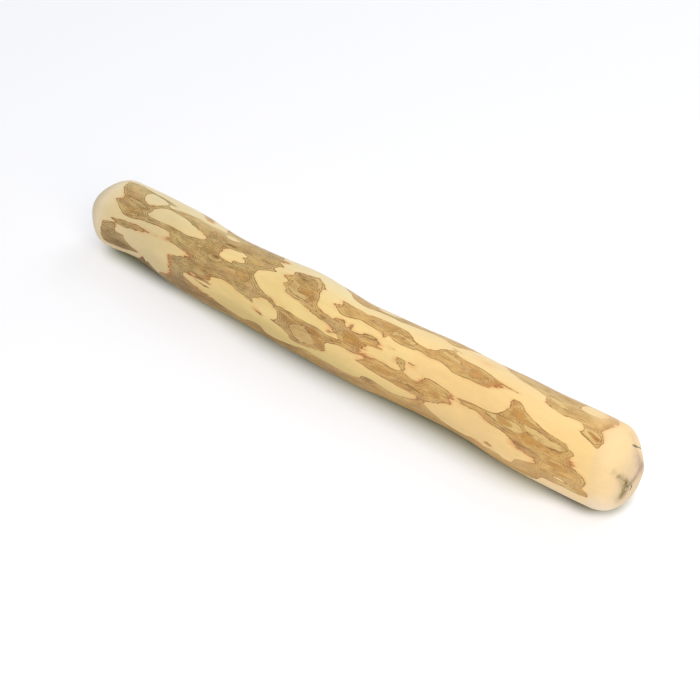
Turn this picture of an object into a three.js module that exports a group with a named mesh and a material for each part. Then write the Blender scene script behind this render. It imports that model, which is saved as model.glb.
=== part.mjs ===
// Coffee wood chew stick: one length of a coffee tree's branch, peeled, sanded smooth and rounded at
// both ends. It is one piece of wood, so it is one mesh. It lies on its underside, along X, with the
// thicker end at +X. The origin is on the surface that it lies on, under the middle of the stick.
// Lengths are in millimetres. Angles run round the stick from the top (0) to the front, -Y (90), to
// the underside (180) and up the back (270), in degrees.
import * as THREE from "three";

// Driving dimensions
const LENGTH = 250;
const HEART_HEIGHT = 14.55; // of the stick's middle line above the surface
const HEART_RISE = 0.75; // of the middle line, from the thin end to the thick end
const THIN_END_CAP = 10.2; // length of the rounding at each end
const THICK_END_CAP = 11.4;
const THIN_END_ROUNDNESS = 2.2; // 2 is an ellipse, more is squarer
const THICK_END_ROUNDNESS = 2.8;

// How the branch grew: place along the stick, radius there, and how far the middle line lies to +Y
const STATIONS = [
  { along: -125, radius: 14.0, side: -1.4 },
  { along: -115, radius: 13.85, side: -0.6 },
  { along: -99, radius: 13.55, side: 0.5 },
  { along: -76, radius: 14.5, side: -1.05 },
  { along: -58, radius: 14.1, side: -2.4 },
  { along: -46, radius: 14.0, side: -1.9 },
  { along: -30, radius: 14.6, side: -1.65 },
  { along: -17, radius: 14.95, side: -1.65 },
  { along: -3, radius: 15.0, side: -1.85 },
  { along: 8, radius: 14.65, side: -2.2 },
  { along: 18, radius: 14.7, side: -1.9 },
  { along: 30, radius: 14.5, side: -1.05 },
  { along: 46, radius: 14.6, side: 0.1 },
  { along: 65, radius: 14.55, side: 0.0 },
  { along: 82, radius: 15.15, side: -0.85 },
  { along: 106, radius: 15.4, side: 0.1 },
  { along: 125, radius: 14.9, side: 0.8 },
];

// Out of round: lobes that turn slowly along the stick
const LOBES = [
  { count: 2, height: 0.28, start: 20, turn: 1.1 },
  { count: 3, height: 0.2, start: 75, turn: -0.8 },
  { count: 5, height: 0.08, start: 10, turn: 1.9 },
];

// Swellings over healed side shoots, and hollows (negative height) where a knife or the sander dug in
const SWELLINGS = [
  { along: -84, angle: 262, height: 0.9, length: 13, width: 7 },
  { along: -18, angle: 318, height: 0.7, length: 12, width: 8 },
  { along: 29, angle: 232, height: 1.1, length: 12, width: 7 },
  { along: 78, angle: 292, height: 0.9, length: 11, width: 6.5 },
  { along: -52, angle: 245, height: -0.7, length: 15, width: 8 },
  { along: 3, angle: 283, height: -0.6, length: 16, width: 8 },
  { along: 55, angle: 258, height: -0.7, length: 14, width: 8 },
  { along: 98, angle: 240, height: -0.5, length: 12, width: 8 },
];

// Sanded bevels that take the corner off each end: where they sit, and how much they take
const END_BEVELS = [
  { end: 1, angle: 311, depth: 3.5, width: 54 },
  { end: 1, angle: 230, depth: 1.4, width: 34 },
  { end: -1, angle: 120, depth: 4.0, width: 42 },
  { end: -1, angle: 330, depth: 0.8, width: 60 },
  { end: -1, angle: 235, depth: 0.9, width: 36 },
];

// The thick end was sawn out of square: the side on which its rim reaches further, by how much, and
// the length over which that runs out along the shaft
const SAW_SKEW = { end: 1, angle: 130, reach: 0.8, length: 40 };

// How finely the solid is divided
const SECTORS = 40;
const SHAFT_RINGS = 74;
const CAP_RINGS = 8;

// The value of one field of the stations at a place along the stick, on a smooth curve through them
function stationValue(field, along) {
  const last = STATIONS.length - 1;
  let i = 0;
  while (i < last - 1 && along > STATIONS[i + 1].along) i += 1;
  const slope = (j) => {
    const a = STATIONS[Math.max(j - 1, 0)];
    const b = STATIONS[Math.min(j + 1, last)];
    return (b[field] - a[field]) / (b.along - a.along);
  };
  const from = STATIONS[i];
  const to = STATIONS[i + 1];
  const span = to.along - from.along;
  const t = (along - from.along) / span;
  const t2 = t * t;
  const t3 = t2 * t;
  return (
    (2 * t3 - 3 * t2 + 1) * from[field] +
    (t3 - 2 * t2 + t) * span * slope(i) +
    (3 * t2 - 2 * t3) * to[field] +
    (t3 - t2) * span * slope(i + 1)
  );
}

// The shorter way round from one angle to another, in degrees
function angleBetween(a, b) {
  return ((((a - b) % 360) + 540) % 360) - 180;
}

// The stick's radius at a place along it and an angle round it
function radiusAt(along, angle) {
  let radius = stationValue("radius", along);
  for (const { count, height, start, turn } of LOBES) {
    const phase = THREE.MathUtils.degToRad(count * angle - start - turn * along);
    radius += height * Math.cos(phase);
  }
  for (const { along: at, angle: round, height, length, width } of SWELLINGS) {
    const lengthwise = (along - at) / length;
    const sideways = THREE.MathUtils.degToRad(angleBetween(angle, round)) * (radius / width);
    radius += height * Math.exp(-lengthwise * lengthwise - sideways * sideways);
  }
  return radius;
}

// How far a sanded bevel draws the surface in, at a share (0 to 1) of the way round an end's corner
function bevelAt(end, angle, share) {
  const corner = Math.sin(Math.PI * share) ** 2;
  let depth = 0;
  for (const bevel of END_BEVELS) {
    if (bevel.end !== end) continue;
    const offset = angleBetween(angle, bevel.angle) / bevel.width;
    depth += bevel.depth * corner * Math.exp(-offset * offset);
  }
  return depth;
}

// How far the saw's skew moves the rim along the stick
function skewAt(along, angle) {
  const half = LENGTH / 2;
  const share = THREE.MathUtils.smoothstep(SAW_SKEW.end * along, half - SAW_SKEW.length, half);
  return SAW_SKEW.reach * share * Math.cos(THREE.MathUtils.degToRad(angle - SAW_SKEW.angle));
}

// The rings from tip to tip: where each lies, what share of the full radius it has, and for a ring on
// an end, which end and how far round its corner (0 at the tip, 1 where the shaft begins)
function ringPlaces() {
  const half = LENGTH / 2;
  const capRing = (end, share) => {
    const cap = end > 0 ? THICK_END_CAP : THIN_END_CAP;
    const turn = (share * Math.PI) / 2;
    const power = 2 / (end > 0 ? THICK_END_ROUNDNESS : THIN_END_ROUNDNESS);
    return {
      along: end * (half - cap + cap * Math.cos(turn) ** power),
      scale: Math.sin(turn) ** power,
      end,
      share,
    };
  };
  const rings = [];
  for (let i = 1; i < CAP_RINGS; i += 1) rings.push(capRing(-1, i / CAP_RINGS));
  const from = -half + THIN_END_CAP;
  const to = half - THICK_END_CAP;
  for (let i = 0; i <= SHAFT_RINGS; i += 1) {
    rings.push({ along: THREE.MathUtils.lerp(from, to, i / SHAFT_RINGS), scale: 1, end: 0, share: 1 });
  }
  for (let i = CAP_RINGS - 1; i > 0; i -= 1) rings.push(capRing(1, i / CAP_RINGS));
  return rings;
}

// A point of the surface. It is kept at or above the surface that the stick lies on, and that leaves
// the flats that the sander made on the underside.
function surfacePoint({ along: place, scale, end, share }, angle) {
  const along = place + skewAt(place, angle) * scale;
  const radius = radiusAt(along, angle) * scale - bevelAt(end, angle, share);
  const around = THREE.MathUtils.degToRad(angle);
  const heart = HEART_HEIGHT + (HEART_RISE * along) / LENGTH;
  return [
    along,
    stationValue("side", along) - radius * Math.sin(around),
    Math.max(heart + radius * Math.cos(around), 0),
  ];
}

function stickGeometry() {
  const rings = ringPlaces();
  const places = [];
  for (const ring of rings) {
    for (let i = 0; i < SECTORS; i += 1) places.push(...surfacePoint(ring, (360 * i) / SECTORS));
  }
  const tip = (end) => surfacePoint({ along: (end * LENGTH) / 2, scale: 0, end, share: 0 }, 0);
  const thinTip = rings.length * SECTORS;
  const thickTip = thinTip + 1;
  places.push(...tip(-1), ...tip(1));

  const faces = [];
  const lastRing = (rings.length - 1) * SECTORS;
  for (let i = 0; i < SECTORS; i += 1) {
    const next = (i + 1) % SECTORS;
    faces.push(thinTip, next, i);
    for (let start = 0; start < lastRing; start += SECTORS) {
      const a = start + i;
      const b = start + next;
      faces.push(a, b, a + SECTORS, b, b + SECTORS, a + SECTORS);
    }
    faces.push(thickTip, lastRing + i, lastRing + next);
  }
  const geometry = new THREE.BufferGeometry();
  geometry.setAttribute("position", new THREE.Float32BufferAttribute(places, 3));
  geometry.setIndex(faces);
  geometry.computeBoundingBox();
  const middle = geometry.boundingBox.getCenter(new THREE.Vector3());
  geometry.translate(-middle.x, -middle.y, 0);
  geometry.computeVertexNormals();
  return geometry;
}

const stick = new THREE.Mesh(
  stickGeometry(),
  new THREE.MeshStandardMaterial({ color: 0xd9bb85, roughness: 0.62, metalness: 0 }),
);
stick.name = "coffee_wood_stick";

const coffeeWood = new THREE.Group();
coffeeWood.add(stick);

export default coffeeWood;
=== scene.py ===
"""A coffee wood chew stick: one length of branch, peeled, sanded smooth and rounded at both ends.

The wood is cream where the sander reached it. Islands of the inner bark are left between, tan to olive
brown, with the edges of their layers showing as fine wavy lines like the contours of a map.

Places on the stick are given as a distance along it in millimetres, from the thin end (-) to the thick
end (+), and an angle round it in degrees: 0 is the top, 90 the front, 180 the underside, -90 the back.
"""

from __future__ import annotations

import logging
import math
from dataclasses import dataclass, replace
from enum import Enum
from functools import partial, reduce

import bpy
import numpy as np
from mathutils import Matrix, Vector

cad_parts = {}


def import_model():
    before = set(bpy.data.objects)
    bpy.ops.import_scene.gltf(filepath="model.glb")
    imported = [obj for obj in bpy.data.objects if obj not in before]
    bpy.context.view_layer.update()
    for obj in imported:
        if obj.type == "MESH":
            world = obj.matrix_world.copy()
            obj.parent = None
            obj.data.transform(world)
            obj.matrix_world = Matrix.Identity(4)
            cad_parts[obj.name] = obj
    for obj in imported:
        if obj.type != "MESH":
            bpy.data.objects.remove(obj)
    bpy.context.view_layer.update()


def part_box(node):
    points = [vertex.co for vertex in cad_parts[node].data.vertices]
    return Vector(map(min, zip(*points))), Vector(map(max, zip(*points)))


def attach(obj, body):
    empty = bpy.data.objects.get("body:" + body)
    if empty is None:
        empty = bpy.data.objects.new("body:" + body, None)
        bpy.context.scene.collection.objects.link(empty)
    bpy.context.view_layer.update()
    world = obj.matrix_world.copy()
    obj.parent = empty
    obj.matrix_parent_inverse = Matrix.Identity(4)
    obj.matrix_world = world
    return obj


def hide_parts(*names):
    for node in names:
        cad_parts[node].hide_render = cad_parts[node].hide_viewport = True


LOG = logging.getLogger("coffee_wood")

MM = 0.001
NODE = "coffee_wood_stick"
BODY = "root"
TINY = 1e-12  # stands in for the square of a length of 0, where it divides

# The surface attributes that the finish reads, besides those named by Cover and Tint
GRAIN_PLACE = "grain_place"
END_GRAIN = "end_grain"
RING_ANGLE = "ring_angle"

Colour = tuple[int, int, int]
Place = tuple[float, float]
Span = tuple[float, float]
Socket = bpy.types.NodeSocket
Amount = float | Socket
Paint = Colour | Socket


def linear(colour: Colour) -> tuple[float, float, float, float]:
    """Turns a screen colour into the linear one that a shader takes.

    Args:
        colour: Red, green and blue from 0 to 255.

    Returns:
        Linear red, green and blue from 0 to 1, and an alpha of 1.
    """
    toe, slope, offset, power = 0.04045, 12.92, 0.055, 2.4  # of the sRGB curve
    shares = [channel / 255 for channel in colour]
    curved = [((share + offset) / (1 + offset)) ** power for share in shares]
    red, green, blue = [c if share > toe else share / slope for c, share in zip(curved, shares)]
    return red, green, blue, 1.0


def smooth_share(value: np.ndarray, low: float, high: float) -> np.ndarray:
    """Rises smoothly from 0 at low to 1 at high.

    Args:
        value: What is measured.
        low: Where the rise starts.
        high: Where it ends.

    Returns:
        The share, 0 to 1, of each value.
    """
    share = np.clip((value - low) / (high - low), 0, 1)
    return share * share * (3 - 2 * share)


def angle_between(a: np.ndarray, b: float) -> np.ndarray:
    """The shorter way round from angle b to each angle of a, in degrees."""
    return (a - b + 180) % 360 - 180


# The branch's form. These are the values that the solid is made from.


@dataclass(frozen=True)
class Station:
    """The branch at one place: its radius, and how far its middle line lies to +Y, in mm."""

    along: float
    radius: float
    side: float


@dataclass(frozen=True)
class Lobe:
    """A wave round the branch that puts it out of round and turns slowly along it."""

    count: int
    height: float
    start: float
    turn: float


@dataclass(frozen=True)
class Swelling:
    """A bump over a healed side shoot or, with a negative height, a hollow."""

    along: float
    angle: float
    height: float
    length: float
    width: float


@dataclass(frozen=True)
class EndBevel:
    """A sanded bevel on an end's corner. The end is -1 for the thin one and 1 for the thick one."""

    end: int
    angle: float
    depth: float
    width: float


@dataclass(frozen=True)
class EndRounding:
    """The rounding of one end: its length, and its squareness, where 2 is an ellipse."""

    length: float
    squareness: float


@dataclass(frozen=True)
class SawSkew:
    """How far out of square the thick end was sawn, and the length over which that runs out."""

    angle: float
    reach: float
    length: float


@dataclass(frozen=True)
class Rings:
    """Rings of points from tip to tip.

    Attributes:
        along: Where each ring lies, in mm.
        scale: The share of the full radius that it has.
        end: -1 or 1 on a rounded end, and 0 on the shaft.
        share: How far it is round the end's corner: 0 at the tip, 1 where the shaft begins.
    """

    along: np.ndarray
    scale: np.ndarray
    end: np.ndarray
    share: np.ndarray


@dataclass(frozen=True)
class BranchForm:
    """The outer form of the stick, from a few driving dimensions in mm."""

    length: float = 250
    heart_height: float = 14.55
    heart_rise: float = 0.75
    thin_end: EndRounding = EndRounding(10.2, 2.2)
    thick_end: EndRounding = EndRounding(11.4, 2.8)
    skew: SawSkew = SawSkew(130, 0.8, 40)
    stations: tuple[Station, ...] = (
        Station(-125, 14.0, -1.4),
        Station(-115, 13.85, -0.6),
        Station(-99, 13.55, 0.5),
        Station(-76, 14.5, -1.05),
        Station(-58, 14.1, -2.4),
        Station(-46, 14.0, -1.9),
        Station(-30, 14.6, -1.65),
        Station(-17, 14.95, -1.65),
        Station(-3, 15.0, -1.85),
        Station(8, 14.65, -2.2),
        Station(18, 14.7, -1.9),
        Station(30, 14.5, -1.05),
        Station(46, 14.6, 0.1),
        Station(65, 14.55, 0.0),
        Station(82, 15.15, -0.85),
        Station(106, 15.4, 0.1),
        Station(125, 14.9, 0.8),
    )
    lobes: tuple[Lobe, ...] = (
        Lobe(2, 0.28, 20, 1.1),
        Lobe(3, 0.2, 75, -0.8),
        Lobe(5, 0.08, 10, 1.9),
    )
    swellings: tuple[Swelling, ...] = (
        Swelling(-84, 262, 0.9, 13, 7),
        Swelling(-18, 318, 0.7, 12, 8),
        Swelling(29, 232, 1.1, 12, 7),
        Swelling(78, 292, 0.9, 11, 6.5),
        Swelling(-52, 245, -0.7, 15, 8),
        Swelling(3, 283, -0.6, 16, 8),
        Swelling(55, 258, -0.7, 14, 8),
        Swelling(98, 240, -0.5, 12, 8),
    )
    bevels: tuple[EndBevel, ...] = (
        EndBevel(1, 311, 3.5, 54),
        EndBevel(1, 230, 1.4, 34),
        EndBevel(-1, 120, 4.0, 42),
        EndBevel(-1, 330, 0.8, 60),
        EndBevel(-1, 235, 0.9, 36),
    )

    def station_value(self, name: str, along: np.ndarray) -> np.ndarray:
        """Reads one field of the stations on a smooth curve through them.

        Args:
            name: "radius" or "side".
            along: Places along the stick.

        Returns:
            The field's value at each place.
        """
        places = np.array([s.along for s in self.stations])
        values = np.array([getattr(s, name) for s in self.stations])
        last = len(places) - 1
        before = np.maximum(np.arange(last + 1) - 1, 0)
        after = np.minimum(np.arange(last + 1) + 1, last)
        slopes = (values[after] - values[before]) / (places[after] - places[before])
        i = np.clip(np.searchsorted(places, along) - 1, 0, last - 1)
        span = places[i + 1] - places[i]
        t = (along - places[i]) / span
        return (
            (2 * t**3 - 3 * t**2 + 1) * values[i]
            + (t**3 - 2 * t**2 + t) * span * slopes[i]
            + (3 * t**2 - 2 * t**3) * values[i + 1]
            + (t**3 - t**2) * span * slopes[i + 1]
        )

    def radius_at(self, along: np.ndarray, angle: np.ndarray) -> np.ndarray:
        """Works out the radius.

        Args:
            along: Places along the stick.
            angle: Angles round it.

        Returns:
            The radius at each.
        """
        radius = self.station_value("radius", along)
        for lobe in self.lobes:
            phase = np.radians(lobe.count * angle - lobe.start - lobe.turn * along)
            radius = radius + lobe.height * np.cos(phase)
        for bump in self.swellings:
            lengthwise = (along - bump.along) / bump.length
            sideways = np.radians(angle_between(angle, bump.angle)) * radius / bump.width
            radius = radius + bump.height * np.exp(-(lengthwise**2) - sideways**2)
        return radius

    def bevel_at(self, end: np.ndarray, angle: np.ndarray, share: np.ndarray) -> np.ndarray:
        """Works out how far the sanded bevels draw the surface in.

        Args:
            end: The end that each place is on, or 0 on the shaft.
            angle: Angles round the stick.
            share: How far round the end's corner each place is.

        Returns:
            The depths.
        """
        corner = np.sin(np.pi * share) ** 2
        depth = np.zeros(np.broadcast(end, angle).shape)
        for bevel in self.bevels:
            offset = angle_between(angle, bevel.angle) / bevel.width
            depth = depth + (end == bevel.end) * bevel.depth * corner * np.exp(-(offset**2))
        return depth

    def skew_at(self, along: np.ndarray, angle: np.ndarray) -> np.ndarray:
        """Works out how far the saw's skew moves the surface along the stick.

        Args:
            along: Places along the stick.
            angle: Angles round it.

        Returns:
            The distances.
        """
        half = self.length / 2
        share = smooth_share(along, half - self.skew.length, half)
        return self.skew.reach * share * np.cos(np.radians(angle - self.skew.angle))

    def heart_at(self, along: np.ndarray) -> np.ndarray:
        """The middle line's height above the surface that the stick lies on."""
        return self.heart_height + self.heart_rise * along / self.length

    def rings(self, shaft_count: int, end_count: int) -> Rings:
        """Spaces rings from tip to tip, without the tips themselves.

        Args:
            shaft_count: How many steps the shaft is divided into.
            end_count: How many steps each rounded end is divided into.

        Returns:
            The rings, from the thin end to the thick one.
        """
        half = self.length / 2
        shares = np.arange(1, end_count) / end_count
        parts = []
        for end, rounding in ((-1, self.thin_end), (1, self.thick_end)):
            turn = shares * np.pi / 2
            power = 2 / rounding.squareness
            along = end * (half - rounding.length + rounding.length * np.cos(turn) ** power)
            parts.append((along, np.sin(turn) ** power, np.full(len(shares), end), shares))
        start = -half + self.thin_end.length
        stop = half - self.thick_end.length
        shaft = np.linspace(start, stop, shaft_count + 1)
        whole = np.ones(len(shaft))
        thin, thick = parts[0], [part[::-1] for part in parts[1]]
        middle = (shaft, whole, 0 * whole, whole)
        return Rings(*[np.concatenate(columns) for columns in zip(thin, middle, thick)])

    def surface(self, rings: Rings, angles: np.ndarray) -> tuple[np.ndarray, np.ndarray]:
        """Works out the points of the rings.

        Args:
            rings: The rings.
            angles: The angles round each ring.

        Returns:
            The points by ring and angle, and the same points measured from the middle line.
        """
        place, scale, end, share = (a[:, None] for a in (rings.along, rings.scale, rings.end, rings.share))
        angle = angles[None, :]
        along = place + self.skew_at(place, angle) * scale
        radius = self.radius_at(along, angle) * scale - self.bevel_at(end, angle, share)
        across = -radius * np.sin(np.radians(angle))
        heart = self.heart_at(along)
        height = np.maximum(heart + radius * np.cos(np.radians(angle)), 0)
        points = np.stack([along, self.station_value("side", along) + across, height], axis=-1)
        from_heart = np.stack([along, across, height - heart], axis=-1)
        return points, from_heart

    def tip(self, end: int) -> tuple[np.ndarray, np.ndarray]:
        """Works out the point at an end's tip.

        Args:
            end: -1 for the thin end and 1 for the thick one.

        Returns:
            The point, and the same point measured from the middle line.
        """
        along = np.array([end * self.length / 2])
        side, heart = self.station_value("side", along), self.heart_at(along)
        return np.array([along[0], side[0], heart[0]]), np.array([along[0], 0.0, 0.0])


# Where the bark was left


class Cover(Enum):
    """What an outline encloses. AMBER and PALE are layers that show inside the bark."""

    BARK = "bark"
    BARE = "bare"
    AMBER = "amber"
    PALE = "pale"


# Each outline is a closed curve on the surface through points given as (along, angle)
BARK = {
    # On the front and the top
    "thin_end_saddle": (
        (-114.5, -22), (-114, -12), (-113.4, -3), (-112, 4), (-110, 12), (-108.8, 18), (-109.4, 22),
        (-111.4, 27), (-109.5, 32), (-107.8, 37), (-105.5, 43), (-103.5, 46.5), (-100, 46), (-96, 42.5),
        (-92, 40), (-88, 37), (-84, 35), (-80, 35.5), (-78.3, 38.5), (-78, 42), (-79, 45), (-81.5, 47.3),
        (-76, 47), (-71, 46.6), (-67, 45.5), (-62, 46), (-58, 30), (-58, -20), (-62, -20), (-66, -16.5),
        (-70, -15), (-75, -14), (-78, -12.5), (-82, -9), (-85, -5.5), (-87.5, -4.2), (-90, -6.2),
        (-89.5, -10), (-86.8, -13), (-91, -17), (-95, -19.5), (-100, -21.5), (-104, -23.5), (-108, -27),
        (-112, -27.5),
    ),
    "thin_end_strip": (
        (-109.5, 59), (-106, 57), (-102, 55), (-98, 53), (-94, 52), (-90, 51), (-86, 50.2), (-83.5, 50.2),
        (-88.5, 53.5), (-91.5, 57), (-95, 60), (-99, 63.5), (-102, 66.5), (-105.5, 65), (-107.5, 63),
    ),
    "thin_end_knot": (
        (-112.6, 71), (-110.5, 66.8), (-108, 65), (-106, 67), (-106.4, 73), (-106, 78.5), (-104, 80.5),
        (-102, 81), (-101.3, 86), (-99.5, 91), (-97.5, 95), (-94.5, 97), (-93, 98.5), (-95.5, 102),
        (-99, 107), (-103, 112.5), (-108, 113), (-112, 110), (-113, 103), (-113.2, 93), (-113.2, 83),
    ),
    "thin_end_underside": (
        (-88, 103.5), (-89, 109), (-90.5, 100.5), (-92, 104), (-94, 112), (-98, 120), (-104, 128),
        (-107, 138), (-103, 150), (-94, 154), (-84, 148), (-76, 138), (-80, 124), (-85, 113),
    ),
    "thin_end_back_fleck": (
        (-76.5, -34), (-74, -28), (-71, -23), (-69, -24), (-70, -31), (-72, -40), (-76, -46), (-79, -42),
    ),
    "left_cover": (
        (-60.5, -19), (-60.8, -26), (-62.5, -33), (-64, -45), (-67, -51), (-61, -55), (-64, -62),
        (-58, -66), (-60, -73), (-53, -71), (-49, -78), (-42, -77), (-45, -70), (-39, -67), (-41, -60),
        (-34, -62), (-27, -59), (-33, -54), (-34, -50), (-33.8, -38), (-33.5, -30), (-32.3, -24),
        (-30.5, -19.5), (-27.8, -16), (-28.8, -13), (-31, -9.5), (-29, -5.5), (-27, -2.5), (-28.8, 0.5),
        (-29.5, 4), (-30, 8), (-27.8, 11.3), (-30, 14), (-32.5, 17.5), (-34.6, 20.5), (-35.3, 26),
        (-34.8, 32), (-32.5, 38.5), (-30, 43), (-27, 46.4), (-24.5, 48.4), (-22, 51.6), (-20, 55),
        (-18.4, 60), (-20.4, 60), (-22.5, 57), (-25, 54.4), (-28, 55.3), (-28.8, 58.5), (-31.3, 62),
        (-31, 66), (-30.2, 69), (-33.5, 67), (-36, 64), (-39.5, 63), (-42, 60), (-46, 58.5), (-50, 60),
        (-52.3, 63), (-52.6, 68), (-55, 71), (-60, 71.5), (-63, 73.5), (-65.5, 79), (-66, 83), (-64, 87),
        (-60, 90.5), (-55, 95), (-51.5, 99), (-47.5, 105.5), (-43.5, 109.5), (-39, 111.5), (-40, 125),
        (-60, 137), (-76, 132), (-82, 117), (-80, 108.5), (-77, 104), (-75, 98), (-74, 90), (-74.8, 84),
        (-74.2, 77), (-75.5, 69), (-74.5, 65.5), (-71, 61), (-69.5, 57), (-66.5, 53), (-64.5, 49),
        (-65.5, 46), (-66, 30), (-64, 0), (-62, -12),
    ),
    "left_streak_high": (
        (-64, 75.5), (-59, 72.4), (-54, 73), (-51.3, 74.8), (-51.8, 76.2), (-55, 75.6), (-60, 76),
    ),
    "left_streak_low": ((-60, 79), (-56, 79.6), (-52.2, 81.6), (-53, 83.2), (-57, 82)),
    "middle_streak": (
        (-31.8, 77), (-30.6, 74.6), (-28.6, 74.4), (-26.8, 76), (-25.4, 79.6), (-26.4, 81.6), (-28.2, 79.4),
        (-29.8, 78),
    ),
    "middle_low": (
        (-20.5, 57), (-18.5, 54), (-14, 53.3), (-10, 54.8), (-5, 55.3), (0, 55.2), (4, 57), (7, 55.5),
        (9, 57), (8.5, 64.5), (5.8, 67.5), (5, 72), (5.6, 81), (4, 84), (1, 87.5), (-2.5, 90.5), (-6, 93.3),
        (-9.5, 95), (-12, 93.5), (-12.3, 89.5), (-14, 85.5), (-17, 82), (-21.5, 79.3), (-19.2, 76),
        (-18.3, 72), (-18.7, 67), (-19.2, 62.5),
    ),
    "middle_high": (
        (-24.3, 10.5), (-22.3, 6), (-21.3, 3), (-22.3, -3), (-20.5, -7.5), (-17, -10.5), (-14.5, -14.5),
        (-13.3, -17.5), (-11.3, -13.5), (-9.3, -8.5), (-7.8, -4), (-5.8, -0.8), (-7.2, 2.5), (-7.1, 8),
        (-6, 14), (-5, 19.5), (-5, 25), (-3, 30.5), (1, 33), (5, 34), (5, 43), (-1, 42), (-4, 41),
        (-8, 38.5), (-12, 35.5), (-16, 34), (-19, 31.5), (-20, 27), (-22.2, 21.5), (-21.3, 17.5),
        (-22.3, 14),
    ),
    "middle_arm": (
        (0, 33), (4, 32.6), (6, 28.7), (8.3, 27.8), (9.7, 30.5), (10.5, 34.4), (11.3, 32.8), (11.9, 29),
        (12.6, 26), (13, 28), (13, 31.5), (13, 35.2), (15, 36.3), (17.2, 35.2), (19, 31.5), (22.2, 30.7),
        (24.3, 32.8), (25.5, 35.5), (27, 37.3), (25, 39.7), (27, 41.5), (24.2, 43), (22, 46), (20.6, 47.8),
        (22, 50.3), (20, 52), (19.4, 54.8), (20.5, 57.5), (23.5, 59), (19, 63), (15, 62.7), (11, 63.2),
        (8, 65), (5.5, 61), (6, 56), (9.5, 54.5), (8, 50), (5.5, 46.5), (2, 43.5), (-2, 42),
    ),
    "middle_hook": ((3.9, 51.8), (4.6, 50), (6, 49.8), (8.5, 50.3), (6, 51.8), (5, 53.6)),
    "right_low": (
        (19, 61.5), (22, 59.3), (26, 58.2), (30, 57.8), (33, 60), (36, 59.3), (36.7, 57), (37.6, 56),
        (39, 59), (41, 61.5), (43.3, 62.5), (44.7, 61), (45.5, 57), (47, 52.6), (50, 51.8), (54, 53),
        (57, 55), (58.6, 58), (59.6, 61.3), (58.6, 65), (59.3, 68), (57, 72.3), (55, 76.5), (53, 81.3),
        (50.5, 83.3), (48.5, 86), (46, 87), (44.5, 83.5), (41, 82.5), (37, 82), (33, 80.3), (28, 78),
        (24, 76), (21.2, 73), (18.3, 71.7), (21, 67), (21.5, 64),
    ),
    "right_fleck": (
        (32.6, 47.5), (34, 44), (36, 43), (37.6, 45.3), (37.5, 49.5), (38.3, 54.5), (37, 58.5), (36.3, 54),
        (35, 50.5),
    ),
    "right_dash": ((28.6, 35), (30, 34.2), (32, 35.2), (30, 35.8)),
    "right_dash_low": ((38.4, 44.6), (40, 44.2), (42, 45.8), (40, 45.6)),
    "right_high": (
        (0.8, 14.5), (2.2, 11), (4, 8.3), (2.6, 4.5), (2, 2), (5, 1.3), (8.5, 2), (11.5, 1.6), (14, 3.6),
        (17, 2.6), (20, 0.8), (24, -0.2), (28, 0), (31, 1.5), (33.3, 5.5), (35.5, 10.5), (38.5, 14.3),
        (42, 15.3), (44.3, 13.5), (45.5, 8), (47, 3), (49.3, -0.5), (51.5, 0.8), (54.5, 3.6), (58, 4.2),
        (62, 4.1), (66, 5.5), (70, 7.5), (73, 9.3), (80, 10.8), (74.5, 12.2), (73.2, 16), (71.3, 20),
        (69.7, 23.7), (66, 27.2), (61, 28.4), (56, 29.7), (53, 27.6), (49, 25.2), (45, 25.8), (41, 24.4),
        (37, 25.4), (33, 25.7), (29.5, 24.3), (26.8, 21.6), (26.2, 25.4), (24.9, 26.6), (24.1, 22.6),
        (21, 20.5), (17.5, 18.3), (14, 17.3), (11.8, 19.3), (9, 21.5), (6, 22.3), (3.8, 19), (2.3, 17),
    ),
    "right_high_flecks": (
        (47.3, -5.8), (49.5, -7.2), (52.3, -5.8), (53.3, -3.5), (51, -3.8), (50.8, -0.5), (49.8, -1.5),
        (49.3, -4.2),
    ),
    "lower_band": (
        (-44, 110), (-40, 111), (-36.5, 110.5), (-33, 106), (-29.6, 103), (-26.6, 105), (-25, 112),
        (-21.5, 113.5), (-18, 112), (-13, 108), (-8, 103), (-5, 101), (-2, 100.3), (3, 102), (8, 103),
        (14, 102.6), (19, 100.8), (21.4, 98), (21.8, 94), (24, 91.8), (27, 93), (30, 95.5), (33, 99),
        (36, 99.5), (39.5, 97), (42, 93.5), (44, 90), (45.2, 86.5), (46.5, 85), (48.5, 86), (49, 91),
        (51, 96.5), (54, 101.5), (57, 106.5), (60.5, 109), (64, 109.2), (67, 106), (69.5, 103), (72, 101),
        (75, 102.3), (78, 100.3), (81, 101.3), (84, 104), (87, 102.5), (88, 96.5), (89.3, 92), (91.5, 89.3),
        (94.5, 87), (97, 84), (100, 90), (104, 96), (103, 101), (100, 102.3), (98, 107), (96.5, 113),
        (92, 121), (84, 128), (74, 133), (64, 130), (54, 135), (44, 143), (32, 146), (22, 140), (12, 141),
        (0, 148), (-12, 151), (-24, 145), (-36, 140), (-46, 130),
    ),
    "lower_fleck": ((75.7, 94.5), (77, 92.3), (79, 91.8), (78.5, 94.5), (76.5, 96)),
    "thick_end_low": (
        (60.8, 58), (63, 55.5), (67, 53.8), (71, 52), (75, 50), (77.8, 46.5), (79.5, 40.5), (80.3, 34),
        (80.2, 28), (79.8, 24), (81.5, 21.5), (84, 23), (86, 28), (88, 31.3), (90.5, 35), (94, 38),
        (98, 40.3), (102, 42.4), (104.7, 45.5), (107, 49.3), (108.2, 54), (108, 58.5), (110.3, 62.5),
        (108.5, 64.5), (111, 68), (113.3, 71.5), (115, 77), (115.2, 83), (114.3, 88), (116.3, 92.5),
        (116.8, 98), (114, 99.8), (109, 100.3), (103, 101.3), (99, 100), (95, 95), (94, 88), (96.5, 83.5),
        (95, 80), (97, 75.5), (95, 72.5), (91, 72.8), (88, 71), (85.5, 68.5), (83, 66), (80, 64.6),
        (76, 64.6), (73, 62.3), (70, 60.2), (67, 61.8), (64, 62), (62, 60),
    ),
    "thick_end_rim": (
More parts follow.
